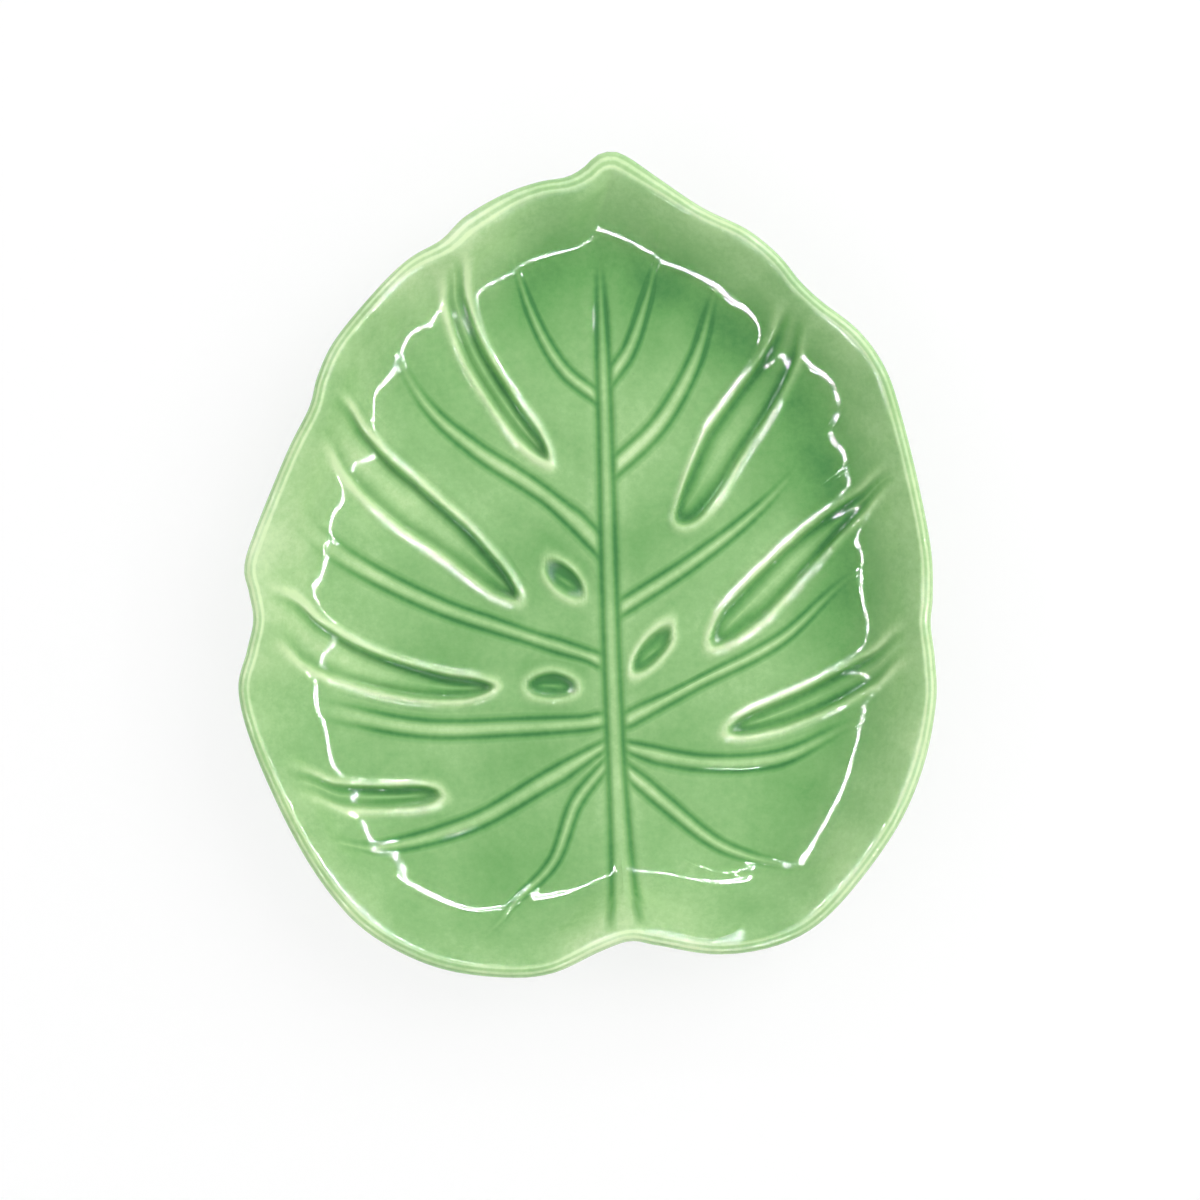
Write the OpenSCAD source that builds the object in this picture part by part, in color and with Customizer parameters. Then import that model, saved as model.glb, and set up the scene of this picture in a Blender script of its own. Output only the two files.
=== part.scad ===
// Leaf-shaped serving plate: one pressed clay leaf on a foot ring, under a coat of glaze.
// The leaf lies in the XY plane with its tip towards +Y and stands on the plane z = 0.
// Its face is a loft: lines fan out from the midrib to the edge, along the veins and slots.

/* [Plate] */
// Length of the leaf from its tip to its lower lobes, over the glaze
plate_l = 220; // [180:1:280]
// Width of the leaf across its widest lobes, over the glaze
plate_w = 186; // [150:1:240]
// Height of the lip above the table
plate_h = 24; // [20:0.5:34]
// Width of the rising rim, in from the edge
rim_w = 30; // [22:1:34]
// Thickness of the fired clay
clay_t = 4.6; // [4:0.1:6]

/* [Foot ring] */
// Height of the foot ring under the floor
foot_h = 3; // [2:0.1:6]
// Width of the face that the foot ring stands on
foot_w = 5; // [3:0.1:9]
// Distance of the foot ring from the widest lobes
foot_side_in = 38; // [35:1:46]
// Distance of the foot ring from the ends of the leaf
foot_end_in = 46; // [42:1:60]
// Draft of the foot ring's walls, from the table to the root
foot_draft = 1; // [0.5:0.1:2]
// Height of the band of bare clay above the table
bare_h = 1.2; // [0.6:0.1:1.6]

/* [Veins] */
// Width of a vein, from groove to groove
vein_w = 4.2; // [2.6:0.1:5]
// Depth of the grooves beside a vein
groove_d = 0.7; // [0.4:0.1:1.4]
// Height of a vein above the face
vein_h = 0.3; // [0.1:0.1:0.8]
// Swell of the blade between its veins
blade_h = 0.4; // [0.1:0.1:0.8]

/* [Slots] */
// Width of a slot, from lip to lip
slot_w = 10.6; // [8:0.1:13]
// Depth of a slot under the face
slot_d = 1.8; // [1:0.1:2.4]
// Width of the sloping wall of a slot
slot_wall_w = 1.6; // [0.8:0.1:2.2]
// Height of the raised lip round a slot
slot_lip_h = 0.8; // [0.2:0.1:1]
// Width of the raised lip round a slot
slot_lip_w = 2; // [1.2:0.1:3]

/* [Glaze] */
// Thickness of the glaze
glaze_t = 0.4; // [0.3:0.05:0.6]
// Extra glaze that pools at the bottom of a slot
pool_t = 0.3; // [0:0.05:0.5]

/* [Hidden] */

clay_colour = [0.86, 0.80, 0.70];
glaze_colour = [0.42, 0.68, 0.38];

lip_r = clay_t / 2 + glaze_t;
floor_z = foot_h + clay_t;
rim_rise = plate_h - glaze_t - floor_z;
rim_curve = 1.7;

// Widest gap along the edge that is left without a line of its own
line_gap = 19;
edge_steps = 3;
back_count = 40;

// Edge of the leaf, clockwise from beside the notch, as shares of the width and the length
edge_shares = [
    [0.100, -0.462], [0.062, -0.457], [0.020, -0.469], [-0.050, -0.496], [-0.120, -0.501],
    [-0.210, -0.490], [-0.290, -0.460], [-0.350, -0.418], [-0.412, -0.343], [-0.474, -0.232],
    [-0.499, -0.155], [-0.487, -0.105], [-0.478, -0.068], [-0.484, -0.035], [-0.491, -0.005],
    [-0.478, 0.035], [-0.430, 0.135], [-0.398, 0.190], [-0.386, 0.228], [-0.360, 0.273],
    [-0.300, 0.334], [-0.255, 0.370], [-0.209, 0.393], [-0.175, 0.421], [-0.120, 0.448],
    [-0.070, 0.463], [-0.030, 0.469], [-0.006, 0.480], [0.013, 0.495], [0.036, 0.500],
    [0.059, 0.493], [0.105, 0.466], [0.165, 0.432], [0.230, 0.405], [0.275, 0.374],
    [0.305, 0.343], [0.335, 0.319], [0.390, 0.282], [0.428, 0.236], [0.452, 0.175],
    [0.476, 0.092], [0.493, 0.015], [0.495, -0.040], [0.492, -0.072], [0.498, -0.115],
    [0.500, -0.165], [0.484, -0.238], [0.450, -0.310], [0.392, -0.382], [0.330, -0.437],
    [0.265, -0.464], [0.185, -0.473]
];

// Midrib from above the notch to below the tip, and its half width along it in vein widths
midrib_shares = [[0.052, -0.400], [0.040, -0.220], [0.031, -0.022], [0.025, 0.175], [0.017, 0.373]];
midrib_width_shares = [[0, 1.2], [0.08, 0.8], [0.2, 0.52], [0.6, 0.45], [0.85, 0.38], [1, 0.15]];
midrib_fade_share = 0.05;

// Lines of the leaf, clockwise from the notch. Each has its kind, its start along the midrib,
// the points that it runs through to the edge, and then for a vein its width and its end along
// the line, and for a slot its widths where it opens, halfway and at the edge, and the
// stretches that are open.
line_shares = [
    ["plain", 0.000, [[0.053, -0.414], [0.054, -0.428], [0.056, -0.443], [0.059, -0.457]]],
    ["vein", 0.238, [[-0.016, -0.291], [-0.051, -0.366], [-0.113, -0.421], [-0.174, -0.497]], 0.80, 0.78],
    ["vein", 0.257, [[-0.062, -0.265], [-0.172, -0.318], [-0.295, -0.346], [-0.414, -0.343]], 1.25, 0.82],
    ["slot", 0.272, [[-0.085, -0.245], [-0.215, -0.280], [-0.346, -0.284], [-0.459, -0.260]],
        [0.66, 0.68, 0.66], [[0.495, 1]]],
    ["vein", 0.288, [[-0.099, -0.199], [-0.237, -0.201], [-0.368, -0.180], [-0.498, -0.151]], 1.05, 0.82],
    ["slot", 0.337, [[-0.084, -0.148], [-0.215, -0.150], [-0.354, -0.118], [-0.481, -0.046]],
        [0.62, 1.05, 1.15], [[0.120, 0.265], [0.345, 1]]],
    ["vein", 0.375, [[-0.084, -0.088], [-0.223, -0.048], [-0.358, 0.012], [-0.455, 0.085]], 1.00, 0.88],
    ["slot", 0.425, [[-0.084, -0.048], [-0.193, 0.030], [-0.306, 0.107], [-0.394, 0.198]],
        [0.70, 1.28, 1.00], [[0.280, 1]]],
    ["slot", 0.468, [[-0.062, -0.004], [-0.186, 0.092], [-0.295, 0.172], [-0.379, 0.249]],
        [0.66, 0.66, 0.66], [[0.115, 0.265]]],
    ["vein", 0.546, [[-0.055, 0.083], [-0.164, 0.143], [-0.244, 0.207], [-0.314, 0.321]], 1.15, 0.88],
    ["slot", 0.622, [[-0.059, 0.135], [-0.123, 0.202], [-0.177, 0.283], [-0.208, 0.391]],
        [0.66, 0.70, 0.62], [[0.235, 1]]],
    ["vein", 0.782, [[-0.033, 0.239], [-0.074, 0.295], [-0.106, 0.369], [-0.129, 0.445]], 0.80, 0.80],
    ["plain", 1.000, [[0.016, 0.405], [0.018, 0.437], [0.026, 0.469], [0.036, 0.500]]],
    ["vein", 0.804, [[0.059, 0.264], [0.083, 0.320], [0.098, 0.369], [0.121, 0.454]], 0.85, 0.78],
    ["vein", 0.670, [[0.102, 0.172], [0.155, 0.250], [0.184, 0.332], [0.211, 0.413]], 1.10, 0.78],
    ["slot", 0.555, [[0.127, 0.056], [0.203, 0.154], [0.271, 0.240], [0.318, 0.331]],
        [0.90, 1.18, 0.60], [[0.245, 1]]],
    ["vein", 0.451, [[0.152, 0.004], [0.254, 0.073], [0.338, 0.154], [0.418, 0.252]], 0.95, 0.66],
    ["slot", 0.345, [[0.128, -0.083], [0.229, 0.000], [0.341, 0.096], [0.455, 0.162]],
        [0.78, 0.78, 0.78], [[0.105, 0.290]]],
    ["slot", 0.309, [[0.149, -0.119], [0.263, -0.026], [0.372, 0.060], [0.466, 0.123]],
        [1.00, 0.90, 0.40], [[0.310, 1]]],
    ["vein", 0.277, [[0.156, -0.145], [0.280, -0.092], [0.382, -0.015], [0.489, 0.030]], 0.95, 0.78],
    ["slot", 0.263, [[0.168, -0.210], [0.295, -0.178], [0.408, -0.130], [0.494, -0.079]],
        [0.72, 0.84, 0.65], [[0.313, 1]]],
    ["vein", 0.250, [[0.164, -0.241], [0.280, -0.237], [0.389, -0.194], [0.501, -0.163]], 1.25, 0.76],
    ["vein", 0.226, [[0.113, -0.293], [0.196, -0.346], [0.295, -0.370], [0.392, -0.382]], 0.70, 0.70]
];

// Places of the lines' stations, as shares of the way to the edge
well_least_share = 0.45;
shoulder_most_share = 0.3;
groove_share = 0.55;
slot_end_share = 0.05;
slot_round_share = 0.15;
rim_mid_share = 0.5;
well_most_share = 0.85;
search_share = 0.7;
search_steps = 24;

// Most of the gap between two lines that their own ribs take, how squarely the gap is taken to
// cross them at least, and the length of line that gives a line's direction
gap_share = 0.92;
lean_least_share = 0.5;
way_share = 0.02;

// Shares of the half width of a slot and of a vein's width
slot_least_share = 0.3;
slot_floor_share = 0.4;
vein_shoulder_share = 0.85;
vein_tip_share = 0.5;
vein_fade_share = 0.12;
midrib_shoulder_share = 1.8;
crest_share = 0.15;

// Angles of the face's lip stations above the outermost line
lip_angles = [90, 0];
// Way from the edge to the foot ring at which the back's stations lie
back_shares = [0.14, 0.32, 0.52, 0.76];
foot_shift_share = -0.02;

// Plain helpers
function mix(a, b, t) = a + (b - a) * t;
function clamp(t) = min(max(t, 0), 1);
function smooth(t) = let (u = clamp(t)) u * u * (3 - 2 * u);
function total(list, i = 0) = i < len(list) ? list[i] + total(list, i + 1) : 0;
function flat(lists) = [for (list = lists) for (item = list) item];
function lift(points, heights) = [for (i = [0:len(points) - 1]) [points[i].x, points[i].y, heights[i]]];

// Smooth curve through b and c, with a before and d after them
function blend(a, b, c, d, t) =
    (2 * b + (c - a) * t + (2 * a - 5 * b + 4 * c - d) * t * t + (3 * b - a - 3 * c + d) * t * t * t) / 2;

// Point at a share of the way along a smooth open curve
function along(p, share) =
    let (
        last = len(p) - 1,
        u = clamp(share) * last,
        i = min(floor(u), last - 1),
        a = i > 0 ? p[i - 1] : 2 * p[0] - p[1],
        d = i + 2 <= last ? p[i + 2] : 2 * p[last] - p[last - 1]
    )
    blend(a, p[i], p[i + 1], d, u - i);

// Edge of the leaf in millimetres, fitted to the plate's width and length
edge_count = len(edge_shares) * edge_steps;
edge_curve = [
    for (i = [0:len(edge_shares) - 1], s = [0:edge_steps - 1])
        let (n = len(edge_shares))
        blend(edge_shares[(i + n - 1) % n], edge_shares[i], edge_shares[(i + 1) % n],
            edge_shares[(i + 2) % n], s / edge_steps)
];
edge_low = [min([for (p = edge_curve) p.x]), min([for (p = edge_curve) p.y])];
edge_high = [max([for (p = edge_curve) p.x]), max([for (p = edge_curve) p.y])];
edge_middle = (edge_low + edge_high) / 2;
edge_scale = [plate_w / (edge_high - edge_low).x, plate_l / (edge_high - edge_low).y];
function place(share) =
    [(share.x - edge_middle.x) * edge_scale.x, (share.y - edge_middle.y) * edge_scale.y];
edge = [for (p = edge_curve) place(p)];

function edge_at(u) =
    let (i = floor(u))
    mix(edge[(i + edge_count) % edge_count], edge[(i + 1 + edge_count) % edge_count], u - i);
function edge_normal(u) =
    let (way = edge_at(u + 1) - edge_at(u - 1))
    [-way.y, way.x] / norm(way);

// Distance from a point to the edge, and the place on the edge that is nearest to it
function to_stretch(p, a, b) =
    let (ab = b - a, t = clamp((p - a) * ab / (ab * ab)))
    [norm(p - a - ab * t), t];
function nearest(p) =
    let (
        found = [for (i = [0:edge_count - 1]) to_stretch(p, edge[i], edge[(i + 1) % edge_count])],
        ways = [for (f = found) f[0]],
        least = min(ways),
        i = search(least, ways)[0]
    )
    [least, i + found[i][1]];

// Height and slope of the clay's face, without its relief, at a distance from the edge
function rim_climb(d) = clamp((rim_w - d) / (rim_w - lip_r));
function dish_z(d) = floor_z + rim_rise * pow(rim_climb(d), rim_curve);
function dish_slope(d) = rim_rise * rim_curve * pow(rim_climb(d), rim_curve - 1) / (rim_w - lip_r);
function back_z(d) = dish_z(d) - clay_t * sqrt(1 + pow(dish_slope(d), 2));

// Midrib: its middle line, its half width, and its relief beside that line
midrib = [for (p = midrib_shares) place(p)];
midrib_foot = midrib[0].y;
midrib_span = midrib[len(midrib) - 1].y - midrib_foot;
midrib_line = [for (p = midrib) [p.y, p.x]];
function midrib_half(share) = vein_w * lookup(share, midrib_width_shares);
function midrib_relief(p) =
    let (
        share = (p.y - midrib_foot) / midrib_span,
        across = abs(p.x - lookup(p.y, midrib_line)) / midrib_half(share),
        fade = smooth(share / midrib_fade_share) * smooth((1 - share) / midrib_fade_share)
    )
    fade * lookup(across, [[0, vein_h], [1, -groove_d], [midrib_shoulder_share, 0]]);

// Lines: the curve of each, its length, and its stations from the midrib out to the lip
line_count = len(line_shares);
function is_slot(g) = line_shares[g][0] == "slot";
function is_vein(g) = line_shares[g][0] == "vein";
function slot_stretches(g) = line_shares[g][4];
line_curves = [
    for (row = line_shares)
        let (path = [for (p = row[2]) place(p)], last = len(path) - 1)
        concat(
            [along(midrib, row[1])],
            [for (i = [0:last - 1]) path[i]],
            [edge_at(nearest(path[last])[1])]
        )
];
line_lengths = [
    for (c = line_curves) total([for (i = [1:len(c) - 1]) norm(c[i] - c[i - 1])])
];
function even(a, b, count) = [for (i = [1:count]) mix(a, b, i / count)];

// Stations across the well, closer together at the ends of a slot or hole
function well_stations(g, from, to) =
    !is_slot(g) ? even(from, to, 7)
    : let (
        open = slot_stretches(g),
        a = open[0][0],
        b = open[0][1],
        hole = [a, mix(a, b, 1 / 4), mix(a, b, 3 / 4), b]
    )
    len(open) == 2 ? concat(hole, [open[1][0], open[1][0] + slot_end_share, to])
    : b < 1 ? concat(hole, even(b, to, 3))
    : concat([mix(from, a, 1 / 2), a, a + slot_end_share], even(a + slot_end_share, to, 4));

line_stations = [
    for (g = [0:line_count - 1])
        let (
            c = line_curves[g],
            ways = [
                for (i = [0:search_steps])
                    let (v = 1 - search_share * i / search_steps)
                    [nearest(along(c, v))[0], v]
            ],
            rim_out = lookup(2 * lip_r, ways),
            well = min(max(lookup(rim_w, ways), well_least_share), rim_out * well_most_share),
            rim_mid = max(lookup(rim_w * rim_mid_share, ways), mix(well, rim_out, rim_mid_share)),
            half = midrib_half(line_shares[g][1]),
            shoulder = min(2 * half / line_lengths[g], shoulder_most_share * well)
        )
        concat(
            [shoulder * crest_share, shoulder * groove_share, shoulder],
            well_stations(g, shoulder, well),
            [rim_mid, rim_out]
        )
];
station_count = len(line_stations[0]);
well_station = station_count - 3;

// Half width of a slot or hole at a share of its line, from a round end
function slot_share(g, v) =
    let (
        w = line_shares[g][3],
        first = slot_stretches(g)[0][0],
        t = 2 * clamp((v - first) / (1 - first))
    )
    t < 1 ? mix(w[0], w[1], t) : mix(w[1], w[2], t - 1);
function open_half(g, v) =
    max([
        for (o = slot_stretches(g))
            let (t = clamp((v - o[0]) / (o[1] - o[0])))
            o[1] < 1 ? sqrt(4 * t * (1 - t)) : sqrt(1 - pow(1 - min(t / slot_round_share, 1), 2))
    ]) * slot_share(g, v) * slot_w / 2;

// Offsets of a line's own ribs to either side of it, in order
function rib_offsets(g, v) =
    is_vein(g)
        ? let (
            taper = mix(1, vein_tip_share, v / line_shares[g][4]),
            h = vein_w / 2 * line_shares[g][3] * max(taper, vein_tip_share),
            side = h * (1 + vein_shoulder_share)
        )
        [-side, -h, 0, h, side]
    : is_slot(g)
        ? let (
            w = max(open_half(g, v), slot_least_share * slot_w / 2),
            f = max(w - slot_wall_w, w * slot_floor_share)
        )
        [-w - slot_lip_w, -w, -f, f, w, w + slot_lip_w]
    : [-2 * lip_r, -lip_r, 0, lip_r, 2 * lip_r];

// Relief on a line's own ribs at a station, in the order of the ribs
function vein_relief(g, v, s) =
    let (
        end = line_shares[g][4],
        fade = smooth((end - v) / vein_fade_share) * smooth((s - 1) / 2)
    )
    [for (z = [0, -groove_d, vein_h, -groove_d, 0]) z * fade];
function slot_relief(g, v, s) =
    let (
        rim = s <= well_station ? 1 : s == well_station + 1 ? 1 / 2 : 0,
        at_end = len([for (o = slot_stretches(g)) if (v == o[0] || v == o[1]) o]) > 0,
        inside = len([for (o = slot_stretches(g)) if (v > o[0] && v < o[1]) o]) > 0,
        l = slot_lip_h
    )
    at_end ? [0, l, l, l, l, 0]
    : inside ? [for (z = [0, l, -slot_d, -slot_d, l, 0]) z * rim]
    : [0, 0, 0, 0, 0, 0];
function rib_relief(g, v, s) =
    is_vein(g) ? vein_relief(g, v, s)
    : is_slot(g) ? slot_relief(g, v, s)
    : [0, 0, 0, 0, 0];

// Ribs between two lines, which carry the swell of the blade
function widest(g) = let (o = rib_offsets(g, line_stations[g][well_station])) o[len(o) - 1];
fill_counts = [
    for (g = [0:line_count - 1])
        let (
            n = (g + 1) % line_count,
            last = len(line_curves[g]) - 1,
            gap = norm(line_curves[g][last] - line_curves[n][last]) - widest(g) - widest(n)
        )
        max(0, round(gap / line_gap))
];
function blade_relief(g, i, s) =
    blade_h * sin(180 * i / (fill_counts[g] + 1)) * smooth(s / 3) * (s <= well_station ? 1 : 0);

// Direction of a line, and how squarely the gap to its neighbour crosses it
function line_way(g, v) =
    along(line_curves[g], min(v + way_share, 1)) - along(line_curves[g], max(v - way_share, 0));
function lean(gap, way) = max(abs(cross(gap, way)) / (norm(gap) * norm(way)), lean_least_share);

// Share of the gap to a neighbouring line that each step beside a line takes up
function reach(offsets) = offsets[len(offsets) - 1];
function squeeze(gap, way, way_there, offsets, offsets_there) =
    let (
        need = reach(offsets) / lean(gap, way) + reach(offsets_there) / lean(gap, way_there)
    )
    min(1 / norm(gap), gap_share / need) / lean(gap, way);

// One closed ring of ribs: points in plan with their relief, [x, y, relief]
function ring(s) =
    let (
        lines = [0:line_count - 1],
        at = [for (g = lines) along(line_curves[g], line_stations[g][s])],
        ways = [for (g = lines) line_way(g, line_stations[g][s])],
        offsets = [for (g = lines) rib_offsets(g, line_stations[g][s])],
        own = [
            for (g = lines)
                let (
                    b = (g + line_count - 1) % line_count,
                    n = (g + 1) % line_count,
                    before = at[b] - at[g],
                    after = at[n] - at[g],
                    step_before = before * squeeze(before, ways[g], ways[b], offsets[g], offsets[b]),
                    step_after = after * squeeze(after, ways[g], ways[n], offsets[g], offsets[n]),
                    relief = rib_relief(g, line_stations[g][s], s)
                )
                [
                    for (i = [0:len(offsets[g]) - 1])
                        let (o = offsets[g][i], p = at[g] + (o < 0 ? -o * step_before : o * step_after))
                        [p.x, p.y, relief[i]]
                ]
        ]
    )
    flat([
        for (g = [0:line_count - 1])
            let (a = own[g][len(own[g]) - 1], b = own[(g + 1) % line_count][0], n = fill_counts[g])
            concat(
                own[g],
                [
                    for (i = [1:1:n])
                        let (p = mix(a, b, i / (n + 1)))
                        [p.x, p.y, blade_relief(g, i, s)]
                ]
            )
    ]);

// Face of the leaf: plan points and relief of each ring, and the rib's end on the edge
rings = [for (s = [0:station_count - 1]) ring(s)];
rib_count = len(rings[0]);
tip_line = [for (g = [1:line_count - 1]) if (!is_vein(g) && !is_slot(g)) g][0];
notch_rib = 2;
tip_rib = total([for (g = [0:tip_line - 1]) len(rib_offsets(g, 0)) + fill_counts[g]]) + 2;
rib_ends = [
    for (i = [0:rib_count - 1])
        let (p = rings[station_count - 1][i], end = line_curves[tip_line])
        nearest(i == tip_rib ? end[len(end) - 1] : [p.x, p.y])[1]
];

function glaze_at(relief) = glaze_t + pool_t * clamp(-relief / slot_d);
clay_face = [
    for (r = rings)
        [
            for (p = r)
                let (q = [p.x, p.y], relief = p.z + midrib_relief(q))
                [p.x, p.y, dish_z(nearest(q)[0]) + relief]
        ]
];
glazed_face = [
    for (s = [0:station_count - 1])
        [
            for (i = [0:rib_count - 1])
                let (p = rings[s][i], relief = p.z + midrib_relief([p.x, p.y]))
                clay_face[s][i] + [0, 0, glaze_at(relief)]
        ]
];

// Rounded lip, at an angle above its outermost line, with a skin of glaze or none
function lip_point(u, angle, skin) =
    let (q = edge_at(u) - edge_normal(u) * (lip_r - (lip_r - glaze_t + skin) * cos(angle)))
    [q.x, q.y, plate_h - lip_r + (lip_r - glaze_t + skin) * sin(angle)];
function lip_rings(skin) = [for (a = lip_angles) [for (u = rib_ends) lip_point(u, a, skin)]];

// Back of the leaf: even places round the edge, each with a way in to the foot ring
back_ends = [for (i = [0:back_count - 1]) rib_ends[0] + i * edge_count / back_count];
foot_middle = [0, foot_shift_share * plate_l];
foot_half = [plate_w / 2 - foot_side_in, plate_l / 2 - foot_end_in];
foot_angles = [
    for (u = back_ends)
        let (p = edge_at(u) - foot_middle)
        atan2(p.y / foot_half.y, p.x / foot_half.x)
];
function foot_ring(grow, z) =
    [
        for (a = foot_angles)
            [
                foot_middle.x + (foot_half.x + grow) * cos(a),
                foot_middle.y + (foot_half.y + grow) * sin(a),
                z
            ]
    ];
function back_rings(skin) =
    let (root = foot_ring(foot_draft, 0))
    concat(
        [[for (u = back_ends) lip_point(u, -90, skin)]],
        [
            for (share = back_shares)
                [
                    for (i = [0:back_count - 1])
                        let (
                            r = [root[i].x, root[i].y],
                            q = mix(edge_at(back_ends[i]), r, share)
                        )
                        [q.x, q.y, back_z(nearest(q)[0]) - skin]
                ]
        ]
    );

// Walls of the foot ring, outside and inside, from the root to the bare band
bare_draft = foot_draft * bare_h / foot_h;
function outer_wall(skin) =
    [foot_ring(foot_draft + skin, foot_h - skin), foot_ring(bare_draft + skin, bare_h)];
function inner_wall(skin) =
    [
        foot_ring(-foot_w - bare_draft - skin, bare_h),
        foot_ring(-foot_w - foot_draft - skin, foot_h - skin)
    ];
stand = [foot_ring(0, 0), foot_ring(-foot_w, 0)];

// Triangles between two rings of equal count, and between two rings joined by their order
function band(a, b, n) =
    flat([for (i = [0:n - 1]) let (j = (i + 1) % n) [[a + i, b + i, b + j], [a + i, b + j, a + j]]]);
function zip(a, b, at_a, at_b, i = 0, j = 0) =
    i == len(a) - 1 && j == len(b) - 1 ? []
    : j == len(b) - 1 || (i < len(a) - 1 && at_a[i + 1] <= at_b[j + 1])
        ? concat([[a[i], b[j], a[i + 1]]], zip(a, b, at_a, at_b, i + 1, j))
        : concat([[a[i], b[j], b[j + 1]]], zip(a, b, at_a, at_b, i, j + 1));
function round_trip(start, n) = [for (i = [0:n]) start + i % n];
function unwound(u) = [for (i = [0:len(u)]) i < len(u) ? u[i] : u[0] + edge_count];

// Cap along the midrib: the ribs of the left half, upwards, joined to those of the right half
function midrib_cap(start) =
    let (
        left = [for (i = [notch_rib:tip_rib]) start + i],
        right = concat(
            [for (i = [notch_rib:-1:0]) start + i],
            [for (i = [rib_count - 1:-1:tip_rib]) start + i]
        ),
        left_y = [for (i = left) rings[0][i - start].y],
        right_y = [for (i = right) rings[0][i - start].y]
    )
    [for (f = zip(right, left, right_y, left_y)) if (f[0] != f[1] && f[1] != f[2] && f[2] != f[0]) f];

// Faces of a sheet that starts at a point: the leaf's face, its lip and its back
face_rings = station_count + len(lip_angles);
function sheet_faces(start, back_bands) =
    let (back = start + face_rings * rib_count)
    concat(
        midrib_cap(start),
        flat([
            for (r = [0:face_rings - 2])
                band(start + r * rib_count, start + (r + 1) * rib_count, rib_count)
        ]),
        zip(
            round_trip(back - rib_count, rib_count),
            round_trip(back, back_count),
            unwound(rib_ends),
            unwound(back_ends)
        ),
        flat([
            for (r = [0:back_bands - 1])
                band(back + r * back_count, back + (r + 1) * back_count, back_count)
        ])
    );
function turned(faces) = [for (f = faces) [f[2], f[1], f[0]]];
function fan(start, n, tip) = [for (i = [0:n - 1]) [start + i, tip, start + (i + 1) % n]];

// Fired clay leaf with its foot ring
module clay_body() {
    back = concat(back_rings(0), outer_wall(0), stand, inner_wall(0));
    centre = [foot_middle.x, foot_middle.y, foot_h];
    points = concat(flat(clay_face), flat(lip_rings(0)), flat(back), [centre]);
    tip = len(points) - 1;
    faces = concat(sheet_faces(0, len(back) - 1), fan(tip - back_count, back_count, tip));
    color(clay_colour) polyhedron(points, faces);
}

// Glaze over the face, round the lip and down the back to the bare band of the foot ring
module glaze_coat() {
    outer_back = concat(back_rings(glaze_t), outer_wall(glaze_t));
    inner_back = concat(back_rings(0), outer_wall(0));
    outer = concat(flat(glazed_face), flat(lip_rings(glaze_t)), flat(outer_back));
    inner = concat(flat(clay_face), flat(lip_rings(0)), flat(inner_back));
    bands = len(back_shares) + 2;
    n = len(outer);
    faces = concat(
        sheet_faces(0, bands),
        turned(sheet_faces(n, bands)),
        band(n - back_count, 2 * n - back_count, back_count)
    );
    color(glaze_colour) polyhedron(concat(outer, inner), faces);
}

// Glaze inside the foot ring
module foot_well_glaze() {
    outer = concat(flat(inner_wall(glaze_t)), [[foot_middle.x, foot_middle.y, foot_h - glaze_t]]);
    inner = concat(flat(inner_wall(0)), [[foot_middle.x, foot_middle.y, foot_h]]);
    n = len(outer);
    skin = concat(band(0, back_count, back_count), fan(back_count, back_count, n - 1));
    faces = concat(
        skin,
        turned([for (f = skin) [f[0] + n, f[1] + n, f[2] + n]]),
        band(n, 0, back_count)
    );
    color(glaze_colour) polyhedron(concat(outer, inner), faces);
}

clay_body();
glaze_coat();
foot_well_glaze();
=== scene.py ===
"""A leaf shaped plate in glossy green glaze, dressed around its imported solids.

The leaf is one grid of ribs wrapped round the midrib. Each column of the grid runs from the
midrib over the well, up the rim, round the lip and down the back to the foot ring. Columns
follow the veins and the slots, so every groove and lip lies along a row of edges.
"""
import logging
import math
from dataclasses import dataclass
from enum import Enum
from functools import cached_property

import bmesh
import bpy
import numpy as np
from mathutils import Matrix, Vector


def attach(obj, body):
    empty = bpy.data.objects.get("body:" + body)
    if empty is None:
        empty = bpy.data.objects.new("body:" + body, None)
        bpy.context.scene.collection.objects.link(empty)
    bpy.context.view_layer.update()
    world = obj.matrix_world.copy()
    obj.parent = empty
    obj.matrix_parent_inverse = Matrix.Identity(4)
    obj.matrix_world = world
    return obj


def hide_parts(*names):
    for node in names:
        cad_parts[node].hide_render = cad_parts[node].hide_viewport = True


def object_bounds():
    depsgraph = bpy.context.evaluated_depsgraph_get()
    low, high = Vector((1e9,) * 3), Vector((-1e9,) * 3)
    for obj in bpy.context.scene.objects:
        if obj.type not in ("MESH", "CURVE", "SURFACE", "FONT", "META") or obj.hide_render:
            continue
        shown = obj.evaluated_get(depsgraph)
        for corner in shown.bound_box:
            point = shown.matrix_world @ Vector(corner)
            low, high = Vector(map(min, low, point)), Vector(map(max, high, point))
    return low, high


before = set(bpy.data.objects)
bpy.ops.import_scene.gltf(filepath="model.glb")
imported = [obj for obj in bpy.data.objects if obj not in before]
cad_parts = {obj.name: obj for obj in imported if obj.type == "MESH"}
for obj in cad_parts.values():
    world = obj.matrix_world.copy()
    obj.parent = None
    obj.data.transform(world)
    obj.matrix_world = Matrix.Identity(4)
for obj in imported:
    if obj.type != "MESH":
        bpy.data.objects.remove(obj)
CAD_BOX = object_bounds()

LOG = logging.getLogger("leaf_plate")
MM = 0.001
TONE = "glaze_tone_and_painted_light"
Point = tuple[float, float]
BATCH = 2000
MERGE = 0.001 * MM


class LineKind(Enum):
    """What a line from the midrib to the edge is."""

    VEIN = "vein"
    SLOT = "slot"
    GUIDE = "guide"


class Skin(Enum):
    """Which face of the leaf a set of rows follows, as a depth under the glaze."""

    GLAZE = 0.0
    UNDER_GLAZE = 0.55 * MM
    CLAY = 0.58 * MM


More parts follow.
